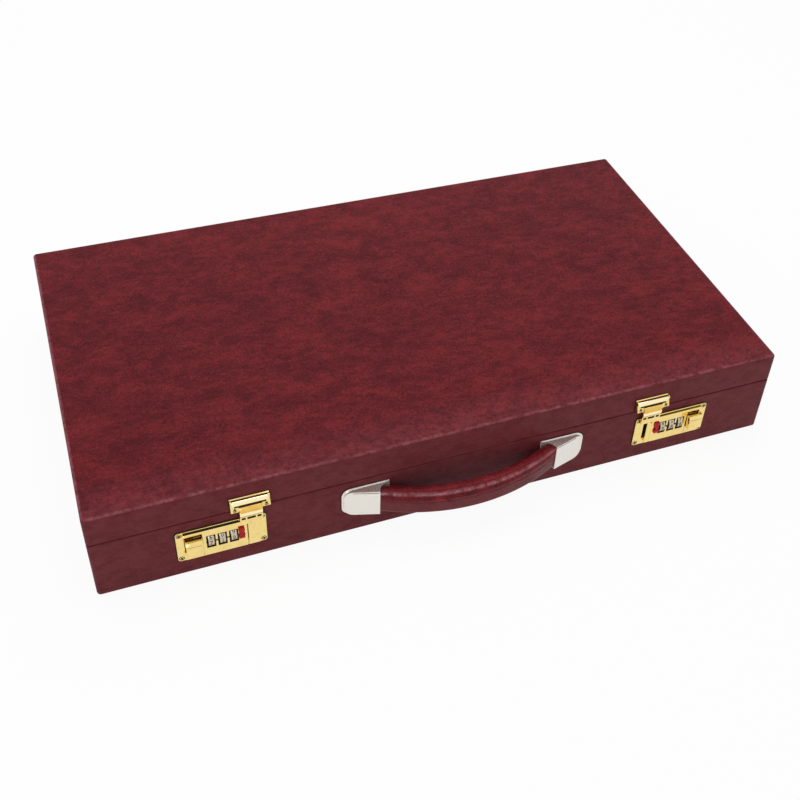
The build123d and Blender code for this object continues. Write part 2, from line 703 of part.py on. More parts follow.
    # Code-change slide: a waisted cap on the face, a stem through its slot and a forked foot
    code_x = lock_x - side * code_offset
    stem_x = code_x + side * code_travel / 2
    with BuildPart() as code_slide:
        with BuildSketch(front.offset(lock_face + running_gap)):
            with Locations((code_x, code_centre_z)):
                Rectangle(code_width, code_tall)
            with Locations(*[(code_x + s * code_width / 2, code_centre_z) for s in (-1, 1)]):
                Rectangle(2 * code_waist, code_tall / 2, mode=Mode.SUBTRACT)
        extrude(amount=code_proud)
        with BuildSketch(front.offset(lock_face - code_fork_depth)):
            with Locations((stem_x, wheel_axis_z)):
                Rectangle(code_stem_width, code_stem_tall)
        extrude(amount=code_fork_depth + running_gap)
        with BuildSketch(front.offset(wheel_axis_out - spindle_bore)):
            with Locations((stem_x, wheel_axis_z)):
                Rectangle(code_stem_width, 2 * spindle_bore + 2 * code_stem_width)
        extrude(amount=lock_face - code_fork_depth - wheel_axis_out + spindle_bore)
        with BuildSketch(across(stem_x)):
            with Locations((wheel_axis_y, wheel_axis_z)):
                Circle(spindle_bore)
            with Locations((wheel_axis_y + spindle_bore, wheel_axis_z)):
                Rectangle(2 * spindle_bore, 2 * spindle_bore)
        extrude(amount=code_width, both=True, mode=Mode.SUBTRACT)
    code_slide.part.label = f"{side_name}_code_slide"
    export_step(code_slide.part, f"parts/{code_slide.part.label}.step")

    # Hasp plate on the lid: a wedge with a bead along its top and a pocket for the barrel
    hasp_plate_bottom = lid_rim + hasp_plate_lift
    hasp_plate_top = hasp_plate_bottom + hasp_plate_tall
    pocket_top = hasp_axis_z + hasp_barrel_radius + pocket_rise
    hasp_axis_y = front_y - hasp_axis_out
    with BuildPart() as hasp_plate:
        with BuildSketch(across(hasp_x)):
            with BuildLine():
                Polyline((front_y, hasp_plate_bottom), (front_y - hasp_axis_out, hasp_plate_bottom),
                         (front_y - hasp_plate_toe, hasp_plate_bottom + hasp_plate_toe_rise),
                         (front_y - hasp_plate_top_out, hasp_plate_top - bead_radius),
                         (front_y, hasp_plate_top), close=True)
            make_face()
            with Locations((front_y - bead_out, hasp_plate_top - bead_radius)):
                Circle(bead_radius)
        extrude(amount=hasp_plate_width / 2, both=True)
        with BuildSketch(front.offset(hasp_plate_back)):
            with Locations((hasp_x, (hasp_plate_bottom + pocket_top) / 2)):
                Rectangle(hasp_width + 2 * pocket_side_gap, pocket_top - hasp_plate_bottom)
        extrude(amount=hasp_plate_toe, mode=Mode.SUBTRACT)
        with BuildSketch(across(hasp_x)):
            with Locations((hasp_axis_y, hasp_axis_z)):
                Circle(hasp_pin_radius + pin_clearance)
        extrude(amount=hasp_plate_width, both=True, mode=Mode.SUBTRACT)
    hasp_plate.part.label = f"{side_name}_hasp_plate"
    export_step(hasp_plate.part, f"parts/{hasp_plate.part.label}.step")

    # Hasp: a barrel round the pin, a slotted flap and a tongue with the catch behind it
    tongue_x = hasp_x - side * tongue_shift
    middle_slot_width = hasp_width - 4 * slot_rim - 2 * side_slot_width
    side_slot_shift = (middle_slot_width + side_slot_width) / 2 + slot_rim
    with BuildPart() as hasp:
        with BuildSketch(across(hasp_x)):
            with Locations((hasp_axis_y, hasp_axis_z)):
                Circle(hasp_barrel_radius)
        extrude(amount=hasp_width / 2, both=True)
        with BuildSketch(front.offset(flap_back)):
            with Locations((hasp_x, (flap_bottom + hasp_axis_z) / 2)):
                Rectangle(hasp_width, hasp_axis_z - flap_bottom)
            with Locations((tongue_x, (tongue_bottom + flap_bottom) / 2)):
                Rectangle(tongue_width, flap_bottom - tongue_bottom)
            with Locations((hasp_x, hasp_axis_z - slot_drop - slot_tall / 2)):
                Rectangle(middle_slot_width, slot_tall, mode=Mode.SUBTRACT)
                with Locations((-side_slot_shift, 0), (side_slot_shift, 0)):
                    Rectangle(side_slot_width, slot_tall, mode=Mode.SUBTRACT)
        extrude(amount=hasp_sheet)
        with BuildSketch(front.offset(flap_back + hasp_sheet)):
            with Locations((hasp_x, hasp_axis_z - (flap_band_top + flap_band_bottom) / 2)):
                Rectangle(hasp_width, flap_band_bottom - flap_band_top)
        extrude(amount=flap_band_thickness)
        with BuildSketch(front.offset(catch_out)):
            with Locations((hasp_x, catch_bottom + catch_tall / 2)):
                Rectangle(catch_width, catch_tall)
        extrude(amount=flap_back - catch_out)
        with BuildSketch(across(hasp_x)):
            with Locations((hasp_axis_y, hasp_axis_z)):
                Circle(hasp_pin_radius + pin_clearance)
        extrude(amount=hasp_width, both=True, mode=Mode.SUBTRACT)
    hasp.part.label = f"{side_name}_hasp"
    export_step(hasp.part, f"parts/{hasp.part.label}.step")

# Pieces that both locks have alike, one solid at each lock
with BuildPart() as lock_spindles:
    for side in sides.values():
        with BuildSketch(across(side * (lock_offset + (outer_ear - inner_ear) / 2))):
            with Locations((wheel_axis_y, wheel_axis_z)):
                Circle(spindle_radius)
        extrude(amount=(outer_ear + inner_ear) / 2 + frame_sheet, both=True)
lock_spindles.part.label = "lock_spindles"
export_step(lock_spindles.part, "parts/lock_spindles.step")

# Detent springs: a strip under the wheels with a raised finger at each ratchet ring
strip_top = frame_bottom + frame_sheet + strip_thickness
finger_tip = wheel_axis_z - ratchet_radius - finger_gap
with BuildPart() as detent_springs:
    for side in sides.values():
        lock_x = side * lock_offset
        with BuildSketch(Plane.XY.offset(frame_bottom + frame_sheet)):
            with Locations((lock_x, wheel_axis_y)):
                Rectangle(wheel_count * wheel_pitch, strip_width)
        extrude(amount=strip_thickness)
        for n in range(wheel_count):
            finger_x = lock_x + (n - (wheel_count - 1) / 2) * wheel_pitch + (wheel_rim_width + ratchet_width) / 2
            with BuildSketch(across(finger_x)):
                with BuildLine():
                    Polyline((wheel_axis_y + strip_width / 2, strip_top), (wheel_axis_y, finger_tip),
                             (wheel_axis_y - strip_width / 2, strip_top), close=True)
                make_face()
            extrude(amount=ratchet_width / 2 - running_gap, both=True)
detent_springs.part.label = "detent_springs"
export_step(detent_springs.part, "parts/detent_springs.step")

with BuildPart() as hasp_pins:
    for side in sides.values():
        with BuildSketch(across(side * (lock_offset - hasp_offset))):
            with Locations((hasp_axis_y, hasp_axis_z)):
                Circle(hasp_pin_radius)
        extrude(amount=hasp_plate_width / 2, both=True)
hasp_pins.part.label = "hasp_pins"
export_step(hasp_pins.part, "parts/hasp_pins.step")

# Handle: places along the front, measured from the handle's centre
cap_slope = (cap_inner_depth - cap_outer_depth) / (cap_half_span - cap_inner)
grip_back = backplate_thickness + grip_lift


def cap_depth(x):
    """How far the cap's front stands out at a distance from the handle's centre."""
    return cap_outer_depth + (cap_half_span - x) * cap_slope


def handle_point(x, out):
    """A point of the handle, seen from above."""
    return (handle_shift + x, front_y - out)


def arc_through(half_span, end_out, middle_out):
    """An arc across the handle, seen from above."""
    return ThreePointArc(handle_point(-half_span, end_out), handle_point(0, middle_out),
                         handle_point(half_span, end_out))


grip_front_end = cap_depth(cap_inner) - cap_wall - grip_clearance
grip_tail = cap_depth(grip_end) - cap_wall - grip_clearance
back_sagitta = grip_bow - grip_front_end
front_radius = (cap_inner**2 + back_sagitta**2) / (2 * back_sagitta)
rear_radius = front_radius - grip_thickness
rear_drop = grip_bow - grip_thickness - grip_back
rear_half_span = (2 * rear_radius * rear_drop - rear_drop**2) ** 0.5

# Handle grip: a padded strap bowed outward, with its ends inside the caps
with BuildPart() as handle_grip:
    with BuildSketch(Plane.XY.offset(handle_height - grip_tall / 2)):
        with BuildLine():
            arc_through(cap_inner, grip_front_end, grip_bow)
            Polyline(handle_point(cap_inner, grip_front_end), handle_point(grip_end, grip_tail),
                     handle_point(grip_end, grip_back), handle_point(rear_half_span, grip_back))
            arc_through(rear_half_span, grip_back, grip_bow - grip_thickness)
            Polyline(handle_point(-rear_half_span, grip_back), handle_point(-grip_end, grip_back),
                     handle_point(-grip_end, grip_tail), handle_point(-cap_inner, grip_front_end))
        make_face()
    extrude(amount=grip_tall)
    fillet(handle_grip.edges().filter_by(GeomType.CIRCLE), grip_round)
    core_end = (grip_front_end + grip_back) / 2
    with BuildSketch(Plane.XY.offset(handle_height - core_tall / 2 - core_clearance)):
        with BuildLine():
            arc_through(cap_inner, core_end, grip_bow - grip_thickness / 2)
            Line(handle_point(cap_inner, core_end), handle_point(grip_end, (grip_tail + grip_back) / 2))
            Line(handle_point(-cap_inner, core_end), handle_point(-grip_end, (grip_tail + grip_back) / 2))
        trace(line_width=core_thickness + 2 * core_clearance)
    extrude(amount=core_tall + 2 * core_clearance, mode=Mode.SUBTRACT)
handle_grip.part.label = "handle_grip"
export_step(handle_grip.part, "parts/handle_grip.step")

# Handle core: a spring-steel strip through the grip, from cap to cap
with BuildPart() as handle_core:
    with BuildSketch(Plane.XY.offset(handle_height - core_tall / 2)):
        with BuildLine():
            arc_through(cap_inner, core_end, grip_bow - grip_thickness / 2)
            Line(handle_point(cap_inner, core_end), handle_point(grip_end, (grip_tail + grip_back) / 2))
            Line(handle_point(-cap_inner, core_end), handle_point(-grip_end, (grip_tail + grip_back) / 2))
        trace(line_width=core_thickness)
    extrude(amount=core_tall)
handle_core.part.label = "handle_core"
export_step(handle_core.part, "parts/handle_core.step")

for side_name, side in sides.items():
    # Handle cap: a wedge-shaped shell with rounded outer corners and a hollow inner edge
    with BuildPart() as handle_cap:
        with BuildSketch(Plane.XY.offset(handle_height - cap_tall / 2)):
            with BuildLine():
                Polyline(handle_point(side * cap_tip, backplate_thickness),
                         handle_point(side * cap_half_span, backplate_thickness),
                         handle_point(side * cap_half_span, cap_outer_depth),
                         handle_point(side * cap_inner, cap_inner_depth))
                ThreePointArc(handle_point(side * cap_inner, cap_inner_depth),
                              handle_point(side * (cap_inner - cap_hollow), cap_inner_depth * cap_hollow_height),
                              handle_point(side * cap_tip, backplate_thickness))
            make_face()
        extrude(amount=cap_tall)
        with BuildSketch(front):
            with Locations((handle_shift + side * (cap_half_span - cap_corner), handle_height)):
                RectangleRounded(2 * cap_corner, cap_tall, cap_corner - cap_corner_flat)
            with Locations((handle_shift + side * (cap_half_span - cap_corner) / 2, handle_height)):
                Rectangle(cap_half_span - cap_corner, cap_tall)
        extrude(amount=2 * cap_inner_depth, mode=Mode.INTERSECT)
        with BuildSketch(Plane.XY.offset(handle_height - cap_tall / 2 + cap_wall)):
            with BuildLine():
                Polyline(handle_point(side * (cap_tip - cap_wall), 0),
                         handle_point(side * (grip_end + grip_clearance), 0),
                         handle_point(side * (grip_end + grip_clearance), cap_depth(grip_end) - cap_wall),
                         handle_point(side * (cap_inner - cap_inner_depth), cap_depth(cap_inner - cap_inner_depth)
                                      - cap_wall), close=True)
            make_face()
        extrude(amount=cap_tall - 2 * cap_wall, mode=Mode.SUBTRACT)
    handle_cap.part.label = f"{side_name}_handle_cap"
    export_step(handle_cap.part, f"parts/{handle_cap.part.label}.step")

    # Handle back plate: flat on the case, a little larger than its cap
    with BuildPart() as handle_backplate:
        plate_end = cap_half_span + backplate_margin
        plate_tall = cap_tall + backplate_margin
        with BuildSketch(front):
            with Locations((handle_shift + side * (plate_end + cap_tip) / 2, handle_height)):
                RectangleRounded(plate_end - cap_tip, plate_tall, cap_corner)
            with Locations((handle_shift + side * (cap_tip + cap_corner), handle_height)):
                Rectangle(2 * cap_corner, plate_tall)
        extrude(amount=backplate_thickness)
    handle_backplate.part.label = f"{side_name}_handle_backplate"
    export_step(handle_backplate.part, f"parts/{handle_backplate.part.label}.step")
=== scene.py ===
import bpy, bmesh, json, math
from mathutils import Vector, Matrix, noise

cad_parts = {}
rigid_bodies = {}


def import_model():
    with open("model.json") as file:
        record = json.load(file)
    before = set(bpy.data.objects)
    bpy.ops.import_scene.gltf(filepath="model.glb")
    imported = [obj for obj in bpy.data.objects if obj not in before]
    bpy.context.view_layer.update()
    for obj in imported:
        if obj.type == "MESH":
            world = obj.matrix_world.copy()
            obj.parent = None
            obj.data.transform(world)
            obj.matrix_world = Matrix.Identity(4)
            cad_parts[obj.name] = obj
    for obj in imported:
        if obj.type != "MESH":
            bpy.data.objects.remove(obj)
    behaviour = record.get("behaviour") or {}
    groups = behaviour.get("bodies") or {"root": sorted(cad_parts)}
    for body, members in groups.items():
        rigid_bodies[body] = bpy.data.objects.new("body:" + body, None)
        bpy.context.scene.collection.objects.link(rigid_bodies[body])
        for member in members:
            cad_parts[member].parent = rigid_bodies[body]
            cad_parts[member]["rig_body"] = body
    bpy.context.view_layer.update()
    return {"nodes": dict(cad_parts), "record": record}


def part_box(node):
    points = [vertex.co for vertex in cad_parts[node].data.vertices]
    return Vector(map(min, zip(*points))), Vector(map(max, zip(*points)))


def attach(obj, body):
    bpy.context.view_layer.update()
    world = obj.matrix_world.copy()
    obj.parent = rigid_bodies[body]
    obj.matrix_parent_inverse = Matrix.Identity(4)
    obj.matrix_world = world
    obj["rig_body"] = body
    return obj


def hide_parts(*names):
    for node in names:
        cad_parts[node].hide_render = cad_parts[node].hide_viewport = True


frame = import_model()
nodes = frame["nodes"]
mm = 0.001
print("stage: frame loaded,", len(nodes), "nodes")


# meshes
def addObject(name, mesh):
    piece = bpy.data.objects.new(name, mesh)
    bpy.context.scene.collection.objects.link(piece)
    return piece


def meshOf(name, bm, smoothAngle=35):
    mesh = bpy.data.meshes.new(name)
    bm.to_mesh(mesh)
    bm.free()
    mesh.shade_smooth()
    mesh.set_sharp_from_angle(angle=math.radians(smoothAngle))
    return mesh


def plainMesh(piece, smoothAngle=35):
    # what the modifiers make becomes the piece's own mesh
    graph = bpy.context.evaluated_depsgraph_get()
    mesh = bpy.data.meshes.new_from_object(piece.evaluated_get(graph))
    piece.modifiers.clear()
    old, piece.data = piece.data, mesh
    bpy.data.meshes.remove(old)
    mesh.shade_smooth()
    mesh.set_sharp_from_angle(angle=math.radians(smoothAngle))
    return piece


def dress(piece, body, material, slot, *replaced):
    if material:
        piece.data.materials.clear()
        piece.data.materials.append(material)
    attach(piece, body)
    if replaced:
        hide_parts(*replaced)
    return piece


def bodyOf(node):
    return nodes[node]["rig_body"]


def mergedCopy(node):
    # a CAD solid as clean flat faces, ready for rounding
    bm = bmesh.new()
    bm.from_mesh(nodes[node].data)
    bmesh.ops.remove_doubles(bm, verts=bm.verts, dist=3e-6)
    bmesh.ops.dissolve_limit(bm, angle_limit=math.radians(1), verts=bm.verts, edges=bm.edges)
    return bm


def roundedCopy(name, node, width, material, slot, segments):
    piece = addObject(name, meshOf(name, mergedCopy(node)))
    rounding = piece.modifiers.new("rounding", "BEVEL")
    rounding.width = width * mm
    rounding.segments = segments
    rounding.limit_method = "ANGLE"
    rounding.angle_limit = math.radians(28)
    rounding.use_clamp_overlap = True
    plainMesh(piece)
    return dress(piece, bodyOf(node), material, slot, node)


def sweepRings(rings, closeLoop=False, caps=True):
    # rings of equal length joined one after another, with faces outwards when they run counterclockwise upwards
    bm = bmesh.new()
    rows = [[bm.verts.new(p) for p in ring] for ring in rings]
    pairs = list(zip(rows, rows[1:])) + ([(rows[-1], rows[0])] if closeLoop else [])
    for low, high in pairs:
        for i in range(len(low)):
            j = (i + 1) % len(low)
            bm.faces.new((low[i], low[j], high[j], high[i]))
    if caps and not closeLoop:
        bm.faces.new(list(reversed(rows[0])))
        bm.faces.new(rows[-1])
    bmesh.ops.recalc_face_normals(bm, faces=bm.faces)
    return bm


# materials
class Val:
    def __init__(self, tree, socket):
        self.tree, self.socket = tree, socket

    def calc(self, operation, a, b):
        node = self.tree.nodes.new("ShaderNodeMath")
        node.operation = operation
        for socket, value in zip(node.inputs, (a, b)):
            if isinstance(value, Val):
                self.tree.links.new(value.socket, socket)
            else:
                socket.default_value = value
        return Val(self.tree, node.outputs[0])

    def __add__(self, other): return self.calc("ADD", self, other)
    def __radd__(self, other): return self.calc("ADD", other, self)
    def __mul__(self, other): return self.calc("MULTIPLY", self, other)
    def __rmul__(self, other): return self.calc("MULTIPLY", other, self)


class Finish:
    def __init__(self, name, **constants):
        self.material = bpy.data.materials.new(name)
        self.material.use_nodes = True
        self.tree = self.material.node_tree
        self.shader = self.tree.nodes["Principled BSDF"]
        for key, value in constants.items():
            self.shader.inputs[key.replace("_", " ")].default_value = value

    def node(self, kind, settings=None, inputs=None, output=0):
        node = self.tree.nodes.new(kind)
        for key, value in (settings or {}).items():
            if key == "stops":
                ramp = node.color_ramp
                while len(ramp.elements) < len(value):
                    ramp.elements.new(0.5)
                for element, (place, colour) in zip(ramp.elements, value):
                    element.position = place
                    element.color = colour if len(colour) == 4 else (*colour, 1)
            else:
                setattr(node, key, value)
        for key, value in (inputs or {}).items():
            socket = node.inputs[key]
            if isinstance(value, Val):
                self.tree.links.new(value.socket, socket)
            else:
                socket.default_value = value
        return Val(self.tree, node.outputs[output])

    def place(self, scale=(1, 1, 1), turn=(0, 0, 0)):
        coords = self.node("ShaderNodeTexCoord", output="Object")
        return self.node("ShaderNodeMapping", inputs={"Vector": coords, "Scale": scale, "Rotation": turn})

    def noise(self, vector, scale, detail=3, roughness=0.55, distortion=0.0):
        return self.node("ShaderNodeTexNoise", inputs={
            "Vector": vector, "Scale": scale, "Detail": detail, "Roughness": roughness, "Distortion": distortion})

    def ramp(self, factor, *stops):
        return self.node("ShaderNodeValToRGB", {"stops": stops}, {"Fac": factor})

    def mix(self, factor, a, b, blend="MIX"):
        return self.node("ShaderNodeMix", {"data_type": "RGBA", "blend_type": blend},
                         {0: factor, 6: a, 7: b}, output=2)

    def attribute(self, name):
        return self.node("ShaderNodeAttribute", {"attribute_name": name}, output="Fac")

    def bump(self, height, distance, strength=1.0, normal=None):
        inputs = {"Height": height, "Distance": distance, "Strength": strength}
        if normal:
            inputs["Normal"] = normal
        return self.node("ShaderNodeBump", inputs=inputs)

    def to(self, **links):
        for key, value in links.items():
            self.tree.links.new(value.socket, self.shader.inputs[key.replace("_", " ")])
        return self.material


# finishes
# in these looks, side is the duller, greyer tone of upright faces, partly own tone and partly painted shade; the paler
# edge colour is partly wear and partly a painted highlight
leatherLook = {
    "deep": (0.088, 0.0056, 0.0092), "middle": (0.134, 0.0098, 0.0148), "bright": (0.2, 0.016, 0.0225),
    "side": (0.15, 0.031, 0.036), "wearAndHighlight": (0.36, 0.12, 0.14), "blotch": 46.0, "cloud": 130.0, "grain": 620.0,
    "roughness": 0.34, "gloss": 0.065, "weights": (0.32, 0.27, 0.07, 0.34), "steps": (0.42, 0.5, 0.58),
}


def leatherette(name, look, grainDepth=0.00011, toneShadeAndHighlight=True):
    f = Finish(name, IOR=1.5, Specular_IOR_Level=look["gloss"])
    flat = f.place()
    long = f.place((0.75, 1.3, 1.2), (0, 0, 1.1))
    blotch = f.noise(long, look["blotch"], 6, 0.62, 0.5)
    cloud = f.noise(long, look["cloud"], 4, 0.6, 0.3)
    drift = f.noise(flat, 7, 2, 0.5)
    speck = f.noise(flat, 430, 3, 0.75)
    blotchPart, cloudPart, driftPart, speckPart = look["weights"]
    tone = blotch * blotchPart + cloud * cloudPart + drift * driftPart + speck * speckPart
    colour = f.ramp(tone, *zip(look["steps"], (look["deep"], look["middle"], look["bright"])))
    pores = f.node("ShaderNodeTexVoronoi", {"feature": "DISTANCE_TO_EDGE"}, {"Vector": flat, "Scale": look["grain"]})
    pebble = f.noise(flat, look["grain"] * 0.6, 3, 0.65)
    crease = f.ramp(pores, (0.0, (0, 0, 0)), (0.22, (1, 1, 1)))
    colour = f.mix(crease, f.mix(1.0, colour, (0.7, 0.62, 0.62, 1), "MULTIPLY"), colour)
    if toneShadeAndHighlight:
        # upright faces have a duller, greyer skin, partly the leather's own tone and partly painted shade of sides lit
        # less than the top; edges and crowns are made paler, partly rubbed wear and partly a painted highlight
        sideToneAndShade = f.ramp(cloud, (0.4, (0.52,) * 3), (0.6, (0.88,) * 3))
        colour = f.mix(f.attribute("upright"), colour, f.mix(sideToneAndShade, colour, (*look["side"], 1)))
        rub = f.noise(flat, 240, 4, 0.7)
        wearAndHighlight = f.attribute("edge") * f.ramp(rub, (0.36, (0.12, 0.12, 0.12)), (0.62, (1.0, 1.0, 1.0)))
        colour = f.mix(wearAndHighlight, colour, (*look["wearAndHighlight"], 1))
    rough = f.ramp(tone, (0.3, (0.5,) * 3), (0.7, (look["roughness"],) * 3))
    normal = f.bump(crease * 0.6 + pebble * 0.8 + speck * 0.6, grainDepth)
    normal = f.bump(f.noise(flat, 70, 3, 0.5), 0.0002, 0.5, normal)
    return f.to(Base_Color=colour, Roughness=rough, Normal=normal)


goldLook = {"colour": (0.9, 0.7, 0.285), "shade": (0.82, 0.59, 0.19), "roughness": 0.09}


def goldPlate(name, look):
    f = Finish(name, Metallic=1.0)
    flat = f.place()
    haze = f.noise(flat, 260, 4, 0.6)
    colour = f.ramp(haze, (0.35, look["colour"]), (0.8, look["shade"]))
    rough = f.ramp(f.noise(flat, 900, 3, 0.6),
                   (0.3, (look["roughness"],) * 3), (0.7, (look["roughness"] + 0.05,) * 3))
    normal = f.bump(f.noise(flat, 180, 2, 0.5), 0.00002, 0.6)
    return f.to(Base_Color=colour, Roughness=rough, Normal=normal)


def plainSteel(name, colour, roughness, brush=(1, 1, 1), metallic=1.0):
    f = Finish(name, Metallic=metallic)
    lines = f.noise(f.place(brush), 900, 3, 0.6)
    tone = f.ramp(lines, (0.3, tuple(c * 0.9 for c in colour)), (0.7, colour))
    rough = f.ramp(lines, (0.3, (roughness * 0.8,) * 3), (0.7, (roughness * 1.3,) * 3))
    return f.to(Base_Color=tone, Roughness=rough, Normal=f.bump(lines, 0.000008, 0.7))


def velvet(name, colour):
    f = Finish(name, Sheen_Weight=0.6, Sheen_Roughness=0.35, Sheen_Tint=(0.75, 0.25, 0.3, 1),
               Specular_IOR_Level=0.15)
    flat = f.place()
    nap = f.noise(flat, 28, 4, 0.6, 0.8)
    pile = f.noise(flat, 2600, 2, 0.7)
    shade = f.ramp(nap * 0.65 + pile * 0.35, (0.32, tuple(c * 0.55 for c in colour)), (0.52, colour),
                   (0.72, tuple(min(1, c * 1.7) for c in colour)))
    return f.to(Base_Color=shade, Roughness=f.ramp(pile, (0.3, (0.8,) * 3), (0.7, (0.98,) * 3)),
                Normal=f.bump(pile + nap * 0.6, 0.00012))


def plywood(name):
    f = Finish(name)
    grain = f.noise(f.place((3, 30, 30)), 22, 5, 0.65, 0.6)
    tone = f.ramp(grain, (0.3, (0.36, 0.23, 0.12)), (0.6, (0.55, 0.39, 0.22)), (0.8, (0.62, 0.46, 0.28)))
    return f.to(Base_Color=tone, Roughness=f.ramp(grain, (0.3, (0.55,) * 3), (0.7, (0.7,) * 3)),
                Normal=f.bump(grain, 0.00008))


def gloss(name, colour, roughness=0.14):
    f = Finish(name, Specular_IOR_Level=0.2)
    speck = f.noise(f.place(), 600, 3, 0.5)
    tone = f.ramp(speck, (0.3, tuple(c * 0.85 for c in colour)), (0.7, colour))
    return f.to(Base_Color=tone, Roughness=f.ramp(speck, (0.3, (roughness,) * 3), (0.7, (roughness + 0.08,) * 3)),
                Normal=f.bump(speck, 0.00001))


coverFinish = leatherette("burgundyLeatherette", leatherLook)
bottomFinish = leatherette("bottomLeatherette", {**leatherLook, "roughness": 0.55}, toneShadeAndHighlight=False)
gripLook = {**leatherLook, "deep": (0.1, 0.0065, 0.0105), "middle": (0.165, 0.0115, 0.0175),
            "bright": (0.26, 0.02, 0.028), "wearAndHighlight": (0.55, 0.26, 0.28), "blotch": 60.0, "roughness": 0.24, "gloss": 0.1}
gripFinish = leatherette("gripLeatherette", gripLook, 0.00008)
goldFinish = goldPlate("goldPlating", goldLook)
# a paler and a deeper copy of the gold plating: the paler one is a painted highlight, the deeper one painted shade
highlightGoldFinish = goldPlate("highlightGoldPlating",
                           {"colour": (0.98, 0.87, 0.55), "shade": (0.95, 0.78, 0.4), "roughness": 0.07})
shadedGoldFinish = goldPlate("shadedGoldPlating",
                           {"colour": (0.84, 0.56, 0.15), "shade": (0.7, 0.42, 0.09), "roughness": 0.12})
nickelFinish = plainSteel("polishedNickel", (0.86, 0.815, 0.75), 0.27, (2, 1, 14), 0.72)
dialFinish = plainSteel("dialNickel", (0.62, 0.53, 0.4), 0.24)
lockSteelFinish = plainSteel("zincPlatedSteel", (0.46, 0.44, 0.4), 0.3)
springFinish = plainSteel("springSteel", (0.42, 0.42, 0.42), 0.26)
velvetFinish = velvet("wineVelvet", (0.055, 0.006, 0.012))
dividerFinish = velvet("wineFlock", (0.062, 0.0075, 0.014))
cushionFinish = velvet("cushionVelvet", (0.055, 0.006, 0.012))
boardFinish = plywood("plywood")
redFinish = gloss("redSlide", (0.52, 0.005, 0.006))
# dark ink for the printed figures and marks; the same finish serves the dark strips and rings that are painted shade
inkAndShadeFinish = gloss("darkInkAndShade", (0.012, 0.007, 0.004), 0.5)
print("stage: finishes made")

slotFinish = {
    "leatherette": coverFinish, "bottom_leatherette": bottomFinish, "board": boardFinish, "velvet": velvetFinish,
    "divider": dividerFinish, "cushion": cushionFinish, "gold": goldFinish, "lock_steel": lockSteelFinish,
    "wheel": dialFinish, "code_red": redFinish, "nickel": nickelFinish, "spring_steel": springFinish,
    "grip_leatherette": gripFinish,
}
for part in frame["record"]["subparts"]:
    slots = nodes[part["node"]].material_slots
    for place in slots:
        place.link = "OBJECT"
        place.material = slotFinish[part["material_slot"]]


# leather covers of the lid and the base
case = {"width": 470.0, "depth": 266.0, "height": 70.0, "baseTop": 46.8, "lidRim": 47.2, "corner": 2.6,
        "topEdge": 2.3, "rim": 0.95, "bottomEdge": 1.8, "sheet": 0.8, "turnedIn": 10.75, "cornerSteps": 7}


def caseRing(inset, z, look):
    # a rounded rectangle round the case, at an inset from its sides
    halfX, halfY = look["width"] / 2 - inset, look["depth"] / 2 - inset
    radius = max(look["corner"] - inset, 0.15)
    straight = 28
    ring = []
    for cx, cy, start in ((1, -1, -90), (1, 1, 0), (-1, 1, 90), (-1, -1, 180)):
        for n in range(look["cornerSteps"] + 1):
            a = math.radians(start + 90 * n / look["cornerSteps"])
            ring.append(Vector((cx * (halfX - radius) + radius * math.cos(a),
                                cy * (halfY - radius) + radius * math.sin(a), z)))
        nextCentre = {(1, -1): (1, 1), (1, 1): (-1, 1), (-1, 1): (-1, -1), (-1, -1): (1, -1)}[(cx, cy)]
        a = math.radians(start + 90)
        last = ring[-1]
        goal = Vector((nextCentre[0] * (halfX - radius) + radius * math.cos(a),
                       nextCentre[1] * (halfY - radius) + radius * math.sin(a), z))
        ring += [last.lerp(goal, k / straight) for k in range(1, straight)]
    return ring


def quarter(inset, z, radius, startDeg, endDeg, steps=6):
    # points of an edge's rounding, as inset and height
    return [(inset + radius - radius * math.cos(math.radians(startDeg + (endDeg - startDeg) * n / steps)),
             z + radius * math.sin(math.radians(startDeg + (endDeg - startDeg) * n / steps)))
            for n in range(steps + 1)]


def coverMesh(name, profile, look, closeLoop, wearAndHighlightEdge):
    rings = []
    for inset, z in profile:
        ring = caseRing(inset, z, look)
        for p in ring:
            # the leather is laid by hand, so its faces waver by a few hundredths of a millimetre
            lift = noise.noise(Vector((p.x * 0.035, p.y * 0.035, z * 0.06))) * 0.07
            if inset < 1.5:
                out = Vector((p.x / (look["width"] / 2), p.y / (look["depth"] / 2), 0))
                p += Vector((math.copysign(1, out.x) if abs(out.x) > 0.98 else 0,
                             math.copysign(1, out.y) if abs(out.y) > 0.98 else 0, 0)) * min(lift, 0.0)
        rings.append([p * mm for p in ring])
    bm = sweepRings(rings, closeLoop)
    mesh = meshOf(name, bm, 50)
    edge = mesh.attributes.new("edge", "FLOAT", "POINT")
    upright = mesh.attributes.new("upright", "FLOAT", "POINT")
    for i, v in enumerate(mesh.vertices):
        inset = min(look["width"] / 2 - abs(v.co.x / mm), look["depth"] / 2 - abs(v.co.y / mm))
        if wearAndHighlightEdge:
            # a thin paler line along the lid's top edge and a faint paler band near its front: painted highlight and
            # sheen, partly also rubbed wear
            near = max(0.0, 1 - max(abs(v.co.z / mm - wearAndHighlightEdge) / 1.5, inset / 2.0))
            front = look["depth"] / 2 + v.co.y / mm
            band = max(0.0, 1 - (front - 4) / 26) if v.co.z / mm > wearAndHighlightEdge - 0.1 and front > 2 else 0.0
            edge.data[i].value = max(near ** 0.6, 0.16 * band)
        # upright faces are marked for the duller, greyer tone: partly own tone, partly painted shade
        upright.data[i].value = min(1.0, max(0.0, (look["topEdge"] - inset) / look["topEdge"]))
    return mesh


